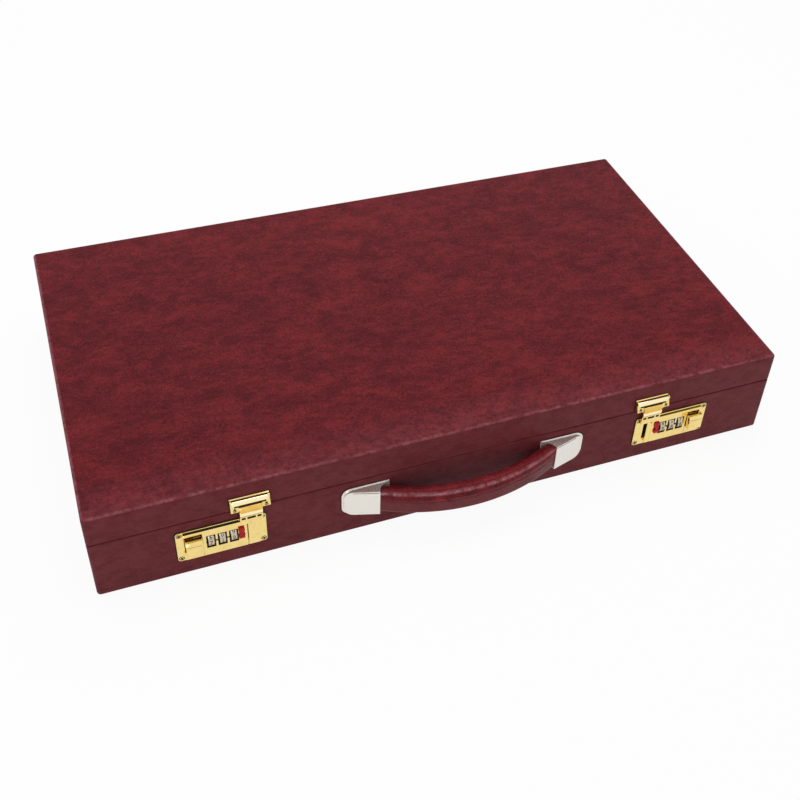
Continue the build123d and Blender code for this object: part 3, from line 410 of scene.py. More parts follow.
c = case
lidOuter = [(inset, c["height"]) for inset in (110, 60, 40, 30, 22, 14, 7, 4)]
lidOuter += list(reversed(quarter(0, c["height"] - c["topEdge"], c["topEdge"], 0, 90)))
lidOuter += [(0, z) for z in (64.5, 60.5, 56.5, 52.5, 49.5)]
lidOuter += [(i, 2 * (c["lidRim"] + c["rim"]) - z) for i, z in quarter(0, c["lidRim"] + c["rim"], c["rim"], 0, 90)]
lidInner = [(c["turnedIn"], c["lidRim"]), (c["turnedIn"], c["lidRim"] + c["sheet"]),
            (c["sheet"] + 0.7, c["lidRim"] + c["sheet"]), (c["sheet"], c["lidRim"] + c["sheet"] + 0.7),
            (c["sheet"], c["height"] - 3), (3, c["height"] - c["sheet"]), (110, c["height"] - c["sheet"])]
lidLeather = addObject("lidLeather", coverMesh("lidLeather", lidOuter + lidInner, c, False, c["height"]))
dress(lidLeather, "lid", coverFinish, "leatherette", "lid_cover")

baseOuter = [(3.0, 0.3)] + [(i, 2 * (0.3 + c["bottomEdge"]) - z)
                            for i, z in reversed(quarter(0, 0.3 + c["bottomEdge"], c["bottomEdge"], 0, 90))]
baseOuter += [(0, z) for z in (6, 12, 18, 24, 30, 36, 42, 44.5)]
baseOuter += quarter(0, c["baseTop"] - c["rim"], c["rim"], 0, 90)
baseInner = [(c["turnedIn"], c["baseTop"]), (c["turnedIn"], c["baseTop"] - c["sheet"]),
             (c["sheet"] + 0.7, c["baseTop"] - c["sheet"]), (c["sheet"], c["baseTop"] - c["sheet"] - 0.7),
             (c["sheet"], 2.2), (1.9, 0.3 + c["sheet"]), (3.0, 0.3 + c["sheet"])]
baseLeather = addObject("baseLeather", coverMesh("baseLeather", baseOuter + baseInner, c, True, None))
cutterMesh = bmesh.new()
lowFrame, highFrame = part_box("left_lock_frame")
for side in (-1, 1):
    centre = Vector((side * 0.157, -0.133, (lowFrame.z + highFrame.z) / 2))
    size = Vector((highFrame.x - lowFrame.x + 0.0006, 0.006, highFrame.z - lowFrame.z + 0.0006))
    bmesh.ops.create_cube(cutterMesh, size=1, matrix=Matrix.Translation(centre) @ Matrix.Diagonal((*size, 1)))
cutter = addObject("lockOpenings", meshOf("lockOpenings", cutterMesh))
opening = baseLeather.modifiers.new("opening", "BOOLEAN")
opening.operation, opening.solver, opening.object = "DIFFERENCE", "EXACT", cutter
plainMesh(baseLeather, 50)
bpy.data.objects.remove(cutter)
dress(baseLeather, "base", coverFinish, "leatherette", "base_cover")
print("stage: leather covers made")

# metal fittings, as rounded copies of their CAD solids
sides = (("left", -1), ("right", 1))
frontY = -133.0
fittings = [
    ("LockPlate", "lock_plate", 0.22, goldFinish, "gold", 3), ("HaspPlate", "hasp_plate", 0.25, goldFinish, "gold", 3),
    ("Button", "button", 0.3, goldFinish, "gold", 3), ("CodeSlide", "code_slide", 0.2, redFinish, "code_red", 3),
    ("HingeBaseLeaf", "hinge_base_leaf", 0.2, goldFinish, "gold", 3),
    ("HingeLidLeaf", "hinge_lid_leaf", 0.2, goldFinish, "gold", 3),
    ("HandleCap", "handle_cap", 0.55, nickelFinish, "nickel", 4),
    ("HandleBackPlate", "handle_backplate", 0.25, nickelFinish, "nickel", 3)]
fittings += [(f"CodeWheel{n}", f"code_wheel_{n}", 0.12, dialFinish, "wheel", 2) for n in (1, 2, 3)]
for side, s in sides:
    for name, node, width, finish, slot, segments in fittings:
        roundedCopy(f"{side}{name}", f"{side}_{node}", width, finish, slot, segments)
print("stage: metal fittings rounded")


def fromFront(x, out, z):
    # millimetres: along the case, out from its front, up from the table
    return Vector((x, frontY - out, z)) * mm


def box(x0, x1, out0, out1, z0, z1):
    return ((x0, frontY - out0, z0), (x1, frontY - out1, z1))


# spans are (from out, to out, from height, to height); sections are (out, height)
hasp = {
    "place": 138.4, "half": 7.1, "axisOut": 3.1, "axisUp": 50.8, "roll": 1.6, "sheet": 0.8, "rim": 1.0, "sideSlot": 2.5,
    "slots": (43.3, 41.1), "tongue": {"left": (-4.3, 2.5), "right": (-0.9, 2.5)},
    "down": [(3.95, 49.2), (3.8, 48.7), (3.8, 47.0), (3.8, 45.0), (3.7, 44.2), (3.55, 43.3), (3.4, 42.4),
             (3.32, 41.1), (3.3, 40.0), (3.3, 38.4), (3.3, 36.9)],
    "tongueRun": [(2.75, 36.3), (2.42, 35.7), (2.4, 34.0), (2.4, 28.0), (2.4, 22.0), (2.4, 16.4)],
    "band": (3.9, 4.95, 45.4, 48.1), "catch": (1.15, 2.1, 33.9, 35.2), "catchAt": 0.6, "catchHalf": 1.2,
    "sleeveHalf": 7.0, "sleeve": 2.07, "bandLine": (3.9, 4.45, 44.75, 45.25), "bandLineHalf": 6.9,
    "slotShade": (3.05, 3.25, 41.0, 43.4), "slotShadeHalf": 6.2,
}


def haspMesh(name, side, s, look):
    # one sheet: rolled round the pin, down over the seam, slotted, and on as a narrow tongue
    low, high = look["tongue"][side]
    half, rim = look["half"], look["rim"]
    slotInner = half - rim - look["sideSlot"]
    columns = sorted({-half, -half + 0.5, -half + rim, -slotInner, -slotInner + rim, low, high,
                      slotInner - rim, slotInner, half - rim, half - 0.5, half})
    angles = [math.radians(a) for a in range(255, -46, -15)]
    roll = [(look["axisOut"] + look["roll"] * math.cos(a), look["axisUp"] + look["roll"] * math.sin(a)) for a in angles]
    profile = roll + look["down"]
    bm = bmesh.new()

    def row(places, out, z):
        return [bm.verts.new(fromFront(s * (look["place"] + x), out, z)) for x in places]

    wide = [row(columns, out, z) for out, z in profile]
    for n, (upper, lower) in enumerate(zip(wide, wide[1:])):
        level = (profile[n][1] + profile[n + 1][1]) / 2
        inSlot = n >= len(roll) and look["slots"][1] <= level <= look["slots"][0]
        for k in range(len(columns) - 1):
            middle = abs(columns[k] + columns[k + 1]) / 2
            hole = middle < slotInner - rim or slotInner < middle < half - rim
            if not (inSlot and hole):
                bm.faces.new((upper[k], upper[k + 1], lower[k + 1], lower[k]))
    keep = [k for k, x in enumerate(columns) if low <= x <= high]
    rows = [[wide[-1][k] for k in keep]] + [row([columns[k] for k in keep], out, z) for out, z in look["tongueRun"]]
    for upper, lower in zip(rows, rows[1:]):
        for k in range(len(keep) - 1):
            bm.faces.new((upper[k], upper[k + 1], lower[k + 1], lower[k]))
    bmesh.ops.recalc_face_normals(bm, faces=bm.faces)
    flap = [f for f in bm.faces if f.calc_center_median().z < 46 * mm]
    if sum(f.normal.y * f.calc_area() for f in flap) > 0:
        bmesh.ops.reverse_faces(bm, faces=bm.faces)
    return meshOf(name, bm)


def finishSheet(piece, thickness, rounding=0.16):
    wall = piece.modifiers.new("wall", "SOLIDIFY")
    wall.thickness, wall.offset = thickness * mm, 0
    soft = piece.modifiers.new("soft", "BEVEL")
    soft.width, soft.segments, soft.limit_method = rounding * mm, 2, "ANGLE"
    soft.angle_limit = math.radians(40)
    return plainMesh(piece)


def blocks(name, boxes, rounding=0.0, segments=2):
    # several rounded blocks as one mesh; each box is its lowest and highest corner in millimetres
    bm = bmesh.new()
    for a, b in boxes:
        a, b = Vector(a) * mm, Vector(b) * mm
        matrix = Matrix.Translation((a + b) / 2) @ Matrix.Diagonal((*[abs(n) for n in b - a], 1))
        bmesh.ops.create_cube(bm, size=1, matrix=matrix)
    piece = addObject(name, meshOf(name, bm))
    if rounding:
        soft = piece.modifiers.new("soft", "BEVEL")
        soft.width, soft.segments = rounding * mm, segments
        plainMesh(piece)
    return piece


for side, s in sides:
    x = s * hasp["place"]
    body = f"{side}_hasp"
    piece = finishSheet(addObject(f"{side}Hasp", haspMesh(f"{side}Hasp", side, s, hasp)), hasp["sheet"])
    dress(piece, body, goldFinish, "gold", body)
    band = box(x - hasp["half"], x + hasp["half"], *hasp["band"])
    # the hasp's band in the paler gold: a painted highlight
    dress(blocks(f"{side}HaspBand", [band], 0.4, 3), body, highlightGoldFinish, "gold")
    at = x + s * hasp["catchAt"]
    catch = box(at - hasp["catchHalf"], at + hasp["catchHalf"], *hasp["catch"])
    dress(blocks(f"{side}HaspCatch", [catch], 0.15), body, goldFinish, "gold")
print("stage: hasps made")


def tube(name, x0, x1, out, up, radius, rounding, steps=20):
    # a rod along the case with softly rounded ends
    bm = bmesh.new()
    rows = []
    full = 1 - rounding / radius
    near = 1 - 0.3 * rounding / radius
    turns = [2 * math.pi * k / steps for k in range(steps)]
    for x, share in ((x0, full), (x0 + 0.3 * rounding, near), (x0 + rounding, 1.0),
                     (x1 - rounding, 1.0), (x1 - 0.3 * rounding, near), (x1, full)):
        r = radius * share
        rows.append([bm.verts.new(fromFront(x, out + r * math.cos(t), up + r * math.sin(t))) for t in turns])
    for low, high in zip(rows, rows[1:]):
        for k in range(steps):
            bm.faces.new((low[k], low[(k + 1) % steps], high[(k + 1) % steps], high[k]))
    bm.faces.new(rows[0])
    bm.faces.new(list(reversed(rows[-1])))
    bmesh.ops.recalc_face_normals(bm, faces=bm.faces)
    return addObject(name, meshOf(name, bm))


def outline(x, z, width, tall, corner, steps=6):
    points = []
    for a, b, start in ((1, -1, -90), (1, 1, 0), (-1, 1, 90), (-1, -1, 180)):
        for k in range(steps + 1):
            t = math.radians(start + 90 * k / steps)
            points.append((x + a * (width / 2 - corner) + corner * math.cos(t),
                           z + b * (tall / 2 - corner) + corner * math.sin(t)))
    return points


def seatRing(name, plate, body, inner=1.2, thick=0.1):
    # a thin dark ring round a plate's edge: a painted contact shadow
    x, z, width, tall, corner, grow = plate
    rings = []
    for size, out in ((grow, 0.0), (grow, thick), (-inner, thick), (-inner, 0.0)):
        edgeLine = outline(x, z, width + 2 * size, tall + 2 * size, max(corner + size, 0.3))
        rings.append([fromFront(px, out, pz) for px, pz in edgeLine])
    piece = addObject(name, meshOf(name, sweepRings(rings, closeLoop=True)))
    return dress(piece, body, inkAndShadeFinish, "gold")


lock = {"offset": 157.0, "up": 27.2, "width": 55.6, "tall": 25.4, "corner": 2.0, "shadowSpread": 0.65}
trim = {
    "beadHalf": 11.95, "bead": (0.3, 4.05, 54.3, 58.15), "beadRound": 1.5,
    "grooveShadeHalf": 9.8, "groove": (2.4, 3.46, 53.2, 54.1),
    "haspShadowRing": (53.35, 24.4, 9.5, 0.4, 0.65), "handleShadowRing": (30.3, 31.4, 22.2, 5.6, 0.5), "handleShadowRingAt": 69.0,
    "topLineOut": {"left": 2.3, "right": 1.6}, "topLine": (-11.0, 23.2, 38.4, 38.58),
    "windowShadeX": (2.35, 2.85), "windowShadeUp": (5.0, 5.45), "windowShadeOut": (2.72, 2.86),
    "faceLineAt": 12.0, "faceLine": (2.75, 2.84, 17.2, 34.0),
    "buttonLineX": (13.3, 21.8), "buttonLine": (7.06, 7.14, 31.6, 31.82),
    "capLineUp": 39.75, "capLine": ((61.9, 8.18), (78.0, 3.5)),
    "capLineSection": ((-0.2, -0.2), (0.07, -0.2), (0.07, 0.2), (-0.2, 0.2)),
}
handleCentre = 4.0
wheels = {"pitch": 7.0, "axisOut": -2.2, "axisUp": 28.2, "radius": 6.6}
for side, s in sides:
    x, at, body = s * hasp["place"], s * lock["offset"], f"{side}_hasp"

    # dark strips on a body; several are painted shade, noted where they are placed
    def inked(name, boxes, ridesOn):
        dress(blocks(f"{side}{name}", boxes), ridesOn, inkAndShadeFinish, "gold")

    # the bead in the paler gold is a painted highlight; the barrel in the deeper gold is painted shade
    bead = box(x - trim["beadHalf"], x + trim["beadHalf"], *trim["bead"])
    dress(blocks(f"{side}Bead", [bead], trim["beadRound"], 5), "lid", highlightGoldFinish, "gold")
    sleeve = tube(f"{side}Barrel", x - hasp["sleeveHalf"], x + hasp["sleeveHalf"], hasp["axisOut"], hasp["axisUp"],
                  hasp["sleeve"], 0.3)
    dress(sleeve, body, shadedGoldFinish, "gold")
    # a dark strip under the bead: painted shadow between bead and barrel
    inked("Groove", [box(x - trim["grooveShadeHalf"], x + trim["grooveShadeHalf"], *trim["groove"])], "lid")
    # dark rings round the lock, hasp and handle plates: painted contact shadow
    seatRing(f"{side}LockSeat", (at, lock["up"], lock["width"], lock["tall"], lock["corner"], lock["shadowSpread"]), "base")
    seatRing(f"{side}HaspSeat", (x, *trim["haspShadowRing"]), "lid")
    seatRing(f"{side}HandleSeat", (handleCentre + s * trim["handleShadowRingAt"], *trim["handleShadowRing"]), "base")
    inked("BandLine", [box(x - hasp["bandLineHalf"], x + hasp["bandLineHalf"], *hasp["bandLine"])], body)
    # a dark strip behind the hasp's slots: painted shade
    inked("SlotLining", [box(x - hasp["slotShadeHalf"], x + hasp["slotShadeHalf"], *hasp["slotShade"])], body)
    # a dark strip along the top of the lock face: painted shadow and dark reflection
    near, far, low, high = trim["topLine"]
    inked("TopLine", [box(at + s * near, at + s * far, 1.0, trim["topLineOut"][side], low, high)], "base")
    # dark frames round the wheel windows: painted shade
    (xIn, xOut), (upIn, upOut), up = trim["windowShadeX"], trim["windowShadeUp"], wheels["axisUp"]
    windowShades = []
    for middle in (at - wheels["pitch"], at, at + wheels["pitch"]):
        windowShades += [box(middle + a * xIn, middle + a * xOut, *trim["windowShadeOut"], up - upOut, up + upOut) for a in (-1, 1)]
        windowShades += [box(middle - xIn, middle + xIn, *trim["windowShadeOut"], up + a * upIn, up + a * upOut) for a in (-1, 1)]
    inked("WindowFrames", windowShades, "base")
    # a dark line under the cap's top edge follows its sloping front: a painted shade line and dark reflection
    rings = [[fromFront(handleCentre + s * a, out + d, trim["capLineUp"] + h) for d, h in trim["capLineSection"]]
             for a, out in trim["capLine"]]
    capLine = addObject(f"{side}CapLine", meshOf(f"{side}CapLine", sweepRings(rings)))
    dress(capLine, bodyOf(f"{side}_handle_cap"), inkAndShadeFinish, "nickel")
    faceLine = at + s * trim["faceLineAt"]
    inked("FaceLine", [box(faceLine - 0.1, faceLine + 0.1, *trim["faceLine"])], "base")
    near, far = trim["buttonLineX"]
    inked("ButtonLine", [box(at + s * near, at + s * far, *trim["buttonLine"])], f"{side}_button")
print("stage: beads, seats and lines made")

# figures on the code wheels: ten faces each, turned about the wheel's axis
dials = {"tall": 2.7, "wide": 1.0, "thick": 0.05, "lift": 0.03, "shown": {"left": "710", "right": "948"}}


def figureMesh(figure, look):
    curve = bpy.data.curves.new("figure", "FONT")
    curve.body, curve.align_x, curve.align_y, curve.size, curve.resolution_u = figure, "CENTER", "CENTER", 1.0, 3
    holder = addObject("figure", curve)
    graph = bpy.context.evaluated_depsgraph_get()
    mesh = bpy.data.meshes.new_from_object(holder.evaluated_get(graph))
    bpy.data.objects.remove(holder)
    xs, ys = [v.co.x for v in mesh.vertices], [v.co.y for v in mesh.vertices]
    middle = Vector(((max(xs) + min(xs)) / 2, (max(ys) + min(ys)) / 2, 0))
    size = look["tall"] / (max(ys) - min(ys))
    for v in mesh.vertices:
        flat = (v.co - middle) * size
        v.co = Vector((flat.x * look["wide"], flat.y, 0))
    return mesh


def thicken(piece, thickness):
    wall = piece.modifiers.new("wall", "SOLIDIFY")
    wall.thickness, wall.offset = thickness * mm, 0
    return plainMesh(piece)


figures = [figureMesh(str(n), dials) for n in range(10)]
reach = wheels["radius"] * math.cos(math.pi / 10) + dials["lift"]
for side, s in sides:
    for n, x in enumerate(sorted(s * lock["offset"] + k * wheels["pitch"] for k in (-1, 0, 1)), start=1):
        bm = bmesh.new()
        first = int(dials["shown"][side][n - 1])
        for k in range(10):
            turn = math.radians(36 * k)
            start = len(bm.verts)
            bm.from_mesh(figures[(first - k) % 10])
            bm.verts.ensure_lookup_table()
            for v in bm.verts[start:]:
                out = wheels["axisOut"] + reach * math.cos(turn) - v.co.y * math.sin(turn)
                up = wheels["axisUp"] + reach * math.sin(turn) + v.co.y * math.cos(turn)
                v.co = fromFront(x + v.co.x, out, up)
        bmesh.ops.remove_doubles(bm, verts=bm.verts, dist=1e-7)
        piece = addObject(f"{side}Figures{n}", meshOf(f"{side}Figures{n}", bm))
        dress(thicken(piece, dials["thick"]), f"{side}_code_wheel_{n}", inkAndShadeFinish, "wheel")
print("stage: figures put on the wheels")

# marks pressed into the lock faces and the ridges of the red slides
marks = {"out": 2.85, "thick": 0.1, "index": 28.2}
slide = {"offset": 11.8, "out": 3.95, "up": 29.6, "half": 1.3, "ridges": (-2.8, -1.4, 0, 1.4, 2.8), "ridge": 0.26,
         "lobes": (-2.2, 2.2), "lobe": 0.7, "lobeX": (1.5, 2.1)}


def arrow(x0, x1, z, half):
    # a small triangle that points from x0 to x1
    return [fromFront(x, marks["out"], up) for x, up in ((x0, z - half), (x1, z), (x0, z + half))]


for side, s in sides:
    bm = bmesh.new()
    centre = s * lock["offset"]
    shapes = []
    for k in (-0.5, 0.5):
        x = centre + k * wheels["pitch"]
        shapes += [arrow(x - 0.1, x - 0.85, marks["index"], 1.0), arrow(x + 0.1, x + 0.85, marks["index"], 1.0)]
    shapes.append(arrow(centre - s * 9.9, centre - s * 9.2, marks["index"] + 0.4, 0.7))
    shapes.append(arrow(centre + s * 10.1, centre + s * 9.6, marks["index"], 1.1))
    for shape in shapes:
        bm.faces.new([bm.verts.new(p) for p in shape])
    bmesh.ops.recalc_face_normals(bm, faces=bm.faces)
    piece = addObject(f"{side}Marks", meshOf(f"{side}Marks", bm))
    dress(thicken(piece, marks["thick"]), "base", inkAndShadeFinish, "gold")
    x, out, z, half = s * (lock["offset"] - slide["offset"]), slide["out"], slide["up"], slide["half"]
    ridges = [box(x - half, x + half, out - 0.2, out + 0.2, z + step - slide["ridge"], z + step + slide["ridge"])
              for step in slide["ridges"]]
    near, far = slide["lobeX"]
    ridges += [box(x - s * near, x - s * far, out - 0.9, out - 0.2, z + step - slide["lobe"], z + step + slide["lobe"])
               for step in slide["lobes"]]
    dress(blocks(f"{side}SlideRidges", ridges, 0.12), f"{side}_code_slide", redFinish, "code_red")
print("stage: marks and ridges made")

# screws, by Geometry Nodes
screws = {"radius": 1.5, "rise": 0.2, "seed": 7, "cross": 2.4, "crossWidth": 0.85, "rim": 0.45, "steps": 20,
          "lock": (25.6, 10.4, 1.0), "hasp": (9.7, 3.75, 52.0), "haspFacing": (0, -0.93, 0.37),
          "hingeAt": 150.0, "hingePitch": 18, "hingeY": 134.2, "baseUp": 35.5, "lidUp": 58.5}


def circle(radius, height, steps):
    # millimetres
    turns = [2 * math.pi * k / steps for k in range(steps)]
    return [Vector((radius * math.cos(t), radius * math.sin(t), height)) * mm for t in turns]


def screwHead(name, look):
    # a low crowned head
    bm = bmesh.new()
    steps = look["steps"]
    rows = [[bm.verts.new(p) for p in circle(look["radius"] * share, look["rise"] * height, steps)]
            for share, height in ((0.55, 0.93), (0.85, 0.7), (1.0, 0.15), (1.0, -1.5))]
    top = bm.verts.new((0, 0, look["rise"] * mm))
    for k in range(steps):
        after = (k + 1) % steps
        bm.faces.new((rows[0][k], rows[0][after], top))
        for inner, outer in zip(rows, rows[1:]):
            bm.faces.new((outer[k], outer[after], inner[after], inner[k]))
    bm.faces.new(list(reversed(rows[-1])))
    return addObject(name, meshOf(name, bm))


def screwCross(name, look):
    # painted shade of the recess, as a dark cross on the head, with a dark ring round it as painted contact shadow
    bm = bmesh.new()
    outer, inner = look["radius"] + look["rim"], look["radius"] - 0.05
    rings = [circle(r, h, look["steps"]) for r, h in ((outer, 0.0), (outer, 0.05), (inner, 0.05), (inner, 0.0))]
    ringMesh = bpy.data.meshes.new("ring")
    sweepRings(rings, closeLoop=True).to_mesh(ringMesh)
    bm.from_mesh(ringMesh)
    for length, width in ((look["cross"], look["crossWidth"]), (look["crossWidth"], look["cross"])):
        matrix = Matrix.Translation((0, 0, look["rise"] * mm * 0.8)) @ Matrix.Diagonal(
            (length * mm, width * mm, look["rise"] * mm * 0.6, 1))
        bmesh.ops.create_cube(bm, size=1, matrix=matrix)
    return addObject(name, meshOf(name, bm))


def scatterTree(name):
    tree = bpy.data.node_groups.new(name, "GeometryNodeTree")
    face = tree.interface
    face.new_socket("Geometry", in_out="INPUT", socket_type="NodeSocketGeometry")
    inputs = {key: face.new_socket(key, in_out="INPUT", socket_type=kind).identifier for key, kind in (
        ("Shape", "NodeSocketObject"), ("Size", "NodeSocketFloat"), ("Facing", "NodeSocketVector"),
        ("Seed", "NodeSocketInt"), ("Finish", "NodeSocketMaterial"))}
    face.new_socket("Geometry", in_out="OUTPUT", socket_type="NodeSocketGeometry")
    new, link = tree.nodes.new, tree.links.new
    start, end = new("NodeGroupInput"), new("NodeGroupOutput")
    info, turn = new("GeometryNodeObjectInfo"), new("FunctionNodeRandomValue")
    turn.data_type = "FLOAT_VECTOR"
    turn.inputs[1].default_value = (0, 0, math.pi / 2)
    facing, rotate = new("FunctionNodeAlignRotationToVector"), new("FunctionNodeRotateRotation")
    spin = new("FunctionNodeEulerToRotation")
    facing.axis = "Z"
    rotate.rotation_space = "LOCAL"
    place, real = new("GeometryNodeInstanceOnPoints"), new("GeometryNodeRealizeInstances")
    paint = new("GeometryNodeSetMaterial")
    link(start.outputs["Geometry"], place.inputs["Points"])
    link(start.outputs["Shape"], info.inputs["Object"])
    link(info.outputs["Geometry"], place.inputs["Instance"])
    link(start.outputs["Seed"], turn.inputs["Seed"])
    link(turn.outputs[0], spin.inputs[0])
    link(start.outputs["Facing"], facing.inputs["Vector"])
    link(facing.outputs[0], rotate.inputs["Rotation"])
    link(spin.outputs[0], rotate.inputs["Rotate By"])
    link(rotate.outputs[0], place.inputs["Rotation"])
    link(start.outputs["Size"], place.inputs["Scale"])
    link(place.outputs[0], real.inputs[0])
    link(real.outputs[0], paint.inputs["Geometry"])
    link(start.outputs["Finish"], paint.inputs["Material"])
    link(paint.outputs[0], end.inputs[0])
    return tree, inputs


scatter, scatterInputs = scatterTree("placeOnPoints")


def placeShapes(name, spots, facing, shape, material, body, size):
    # a shape at each spot, turned to face one way and spun by chance
    bm = bmesh.new()
    for spot in spots:
        bm.verts.new(spot)
    mesh = bpy.data.meshes.new(name)
    bm.to_mesh(mesh)
    bm.free()
    piece = addObject(name, mesh)
    mod = piece.modifiers.new("scatter", "NODES")
    mod.node_group = scatter
    values = {"Shape": shape, "Size": size, "Facing": facing, "Seed": screws["seed"], "Finish": material}
    for key, value in values.items():
        mod[scatterInputs[key]] = value
    plainMesh(piece)
    dress(piece, body, None, "gold")


head, cross = screwHead("screwHead", screws), screwCross("screwCross", screws)
for side, s in sides:
    (lockX, lockUp, lockOut), (haspX, haspOut, haspUp) = screws["lock"], screws["hasp"]
    hingeX = [s * screws["hingeAt"] + k * screws["hingePitch"] for k in (-1, 0, 1)]
    corners = [(a, b) for a in (-lockX, lockX) for b in (-lockUp, lockUp)]
    groups = [
        ("Lock", [fromFront(s * lock["offset"] + a, lockOut, lock["up"] + b) for a, b in corners],
         "base", (0, -1, 0), 0.9),
        ("Hasp", [fromFront(s * hasp["place"] + a, haspOut, haspUp) for a in (-haspX, haspX)],
         "lid", screws["haspFacing"], 0.8),
        ("HingeBase", [Vector((x, screws["hingeY"], screws["baseUp"])) * mm for x in hingeX], "base", (0, 1, 0), 1.1),
        ("HingeLid", [Vector((x, screws["hingeY"], screws["lidUp"])) * mm for x in hingeX], "lid", (0, 1, 0), 1.1)]
    for group, spots, body, facing, size in groups:
        placeShapes(f"{side}{group}Screws", spots, facing, head, goldFinish, body, size)
        placeShapes(f"{side}{group}Recesses", spots, facing, cross, inkAndShadeFinish, body, size)
for shape in (head, cross):
    bpy.data.objects.remove(shape)
print("stage: screws placed")

# padded grip of the handle, lofted from cap to cap
grip = {
    "height": 30.3, "tall": 18.6, "bow": 22.5, "thick": 8.6, "capInner": 61.5, "end": 77.0,
    "frontEnd": 7.1, "tail": 2.59, "back": 2.0, "step": 1.0,
    "seam": 1.4, "seamDeep": 0.5, "seamWide": 0.42, "proud": 0.35,
    "rollOut": 4.1, "rollDown": 7.4, "backRound": 3.0, "lowRound": 2.0, "arc": 9, "flat": 16,
    "highlightBand": 1.9, "highlightBandWide": 0.75, "highlightBandMost": 0.75,
    "creases": ((49.5, 0.22, 0.9), (52.4, 0.3, 1.1), (55.2, 0.2, 0.8),
                (-57.5, 0.12, 1.0), (38.0, 0.1, 1.4), (-30.0, 0.08, 1.6)),
}


def bowOut(x, middle, endSpan, endOut):
    sagitta = middle - endOut
    radius = (endSpan ** 2 + sagitta ** 2) / (2 * sagitta)
    return middle - radius + math.sqrt(max(radius ** 2 - x ** 2, 0))


def gripRing(x, look):
    capInner, frontEnd, thick = look["capInner"], look["frontEnd"], look["thick"]
    if abs(x) <= capInner:
        front = bowOut(x, look["bow"], capInner, frontEnd)
    else:
        front = frontEnd + (look["tail"] - frontEnd) * (abs(x) - capInner) / (look["end"] - capInner)
    sagitta = look["bow"] - frontEnd
    radius = (capInner ** 2 + sagitta ** 2) / (2 * sagitta) - thick
    centreOut = look["bow"] - thick - radius
    back = max(look["back"], centreOut + math.sqrt(max(radius ** 2 - x ** 2, 0)))
    half = look["tall"] / 2
    depth = front - back
    dip = sum(d * math.exp(-((x - at) / w) ** 2) for at, d, w in look["creases"])
    wave = noise.noise(Vector((x * 0.09, 3.1, 0))) * 0.12
    arc, flat = look["arc"], look["flat"]
    ring = []
    for cornerOut, cornerUp, radiusOut, radiusUp, start in (
            (front, half, look["rollOut"], look["rollDown"], 0),
            (back, half, look["backRound"], look["backRound"], 90),
            (back, -half, look["lowRound"], look["lowRound"], 180),
            (front, -half, look["lowRound"], look["lowRound"], 270)):
        r = min(radiusOut, depth / 2.1)
        tall = radiusUp * r / radiusOut
        co = cornerOut - r if cornerOut == front else cornerOut + r
        cu = cornerUp - tall if cornerUp > 0 else cornerUp + tall
        for k in range(arc):
            a = math.radians(start + 90 * k / (arc - 1))
            ring.append([co + r * math.cos(a), cu + tall * math.sin(a)])
    full = []
    for n, (a, b) in enumerate(zip(ring, ring[1:] + ring[:1])):
        full.append(a)
        if n % arc == arc - 1:
            full += [[a[0] + (b[0] - a[0]) * t / flat, a[1] + (b[1] - a[1]) * t / flat] for t in range(1, flat)]
    # the long faces are crowned by their padding, and creases cross the top
    points = []
    firm = min(1.0, depth / 6)
    for out, up in full:
        share = (out - back) / max(depth, 0.1)
        crownUp = 0.45 * max(0.0, 1 - (2 * share - 1) ** 2) * firm
        crownOut = 0.25 * max(0.0, 1 - (up / half) ** 2) * (1 if share > 0.5 else -0.4) * firm
        lift = (crownUp + wave) * (1 if up > 0 else -0.6) if abs(up) > half - 0.6 else 0
        press = dip * max(0.0, up / half) ** 2 * firm
        if share > 0.5 and depth > 3:
            # the roll ends in a shallow seam, and the skirt under it lies a little further back
            seam = look["seamDeep"] * math.exp(-((up - look["seam"]) / look["seamWide"]) ** 2)
            crownOut += look["proud"] * (up > look["seam"]) - seam
        points.append(fromFront(handleCentre + x, out + crownOut * (depth > 3) - press * 0.8 * (share > 0.6),
                                look["height"] + up + lift - press))
    return points


stations = int(2 * grip["end"] / grip["step"]) + 1
reach = grip["end"] - 0.2
bm = sweepRings([gripRing(-reach + 2 * reach * k / (stations - 1), grip) for k in range(stations)])
handleGrip = addObject("handleGrip", meshOf("handleGrip", bm, 60))
edge = handleGrip.data.attributes.new("edge", "FLOAT", "POINT")
upright = handleGrip.data.attributes.new("upright", "FLOAT", "POINT")
ridge = grip["tall"] / 2 - grip["seam"]
for i, v in enumerate(handleGrip.data.vertices):
    below = grip["height"] + grip["tall"] / 2 - v.co.z / mm
    # the grip's skirt below the seam is marked for the duller, greyer tone: partly own tone, partly painted shade
    upright.data[i].value = min(1.0, max(0.0, (below - ridge + 0.6) / 0.8))
    # a paler band along the grip's roll just under its top: a painted highlight, partly also rubbed wear
    edge.data[i].value = grip["highlightBandMost"] * math.exp(-((below - grip["highlightBand"]) / grip["highlightBandWide"]) ** 2)
dress(handleGrip, bodyOf("handle_grip"), gripFinish, "grip_leatherette", "handle_grip")
print("stage: grip lofted")

# cushion in the lid: a crowned pad whose sides pull in between its corners
lowPad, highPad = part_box("lid_cushion")
pad = {"low": lowPad / mm, "high": highPad / mm, "draw": 2.0, "round": 4.0, "across": 96, "along": 56, "puff": 0.55}


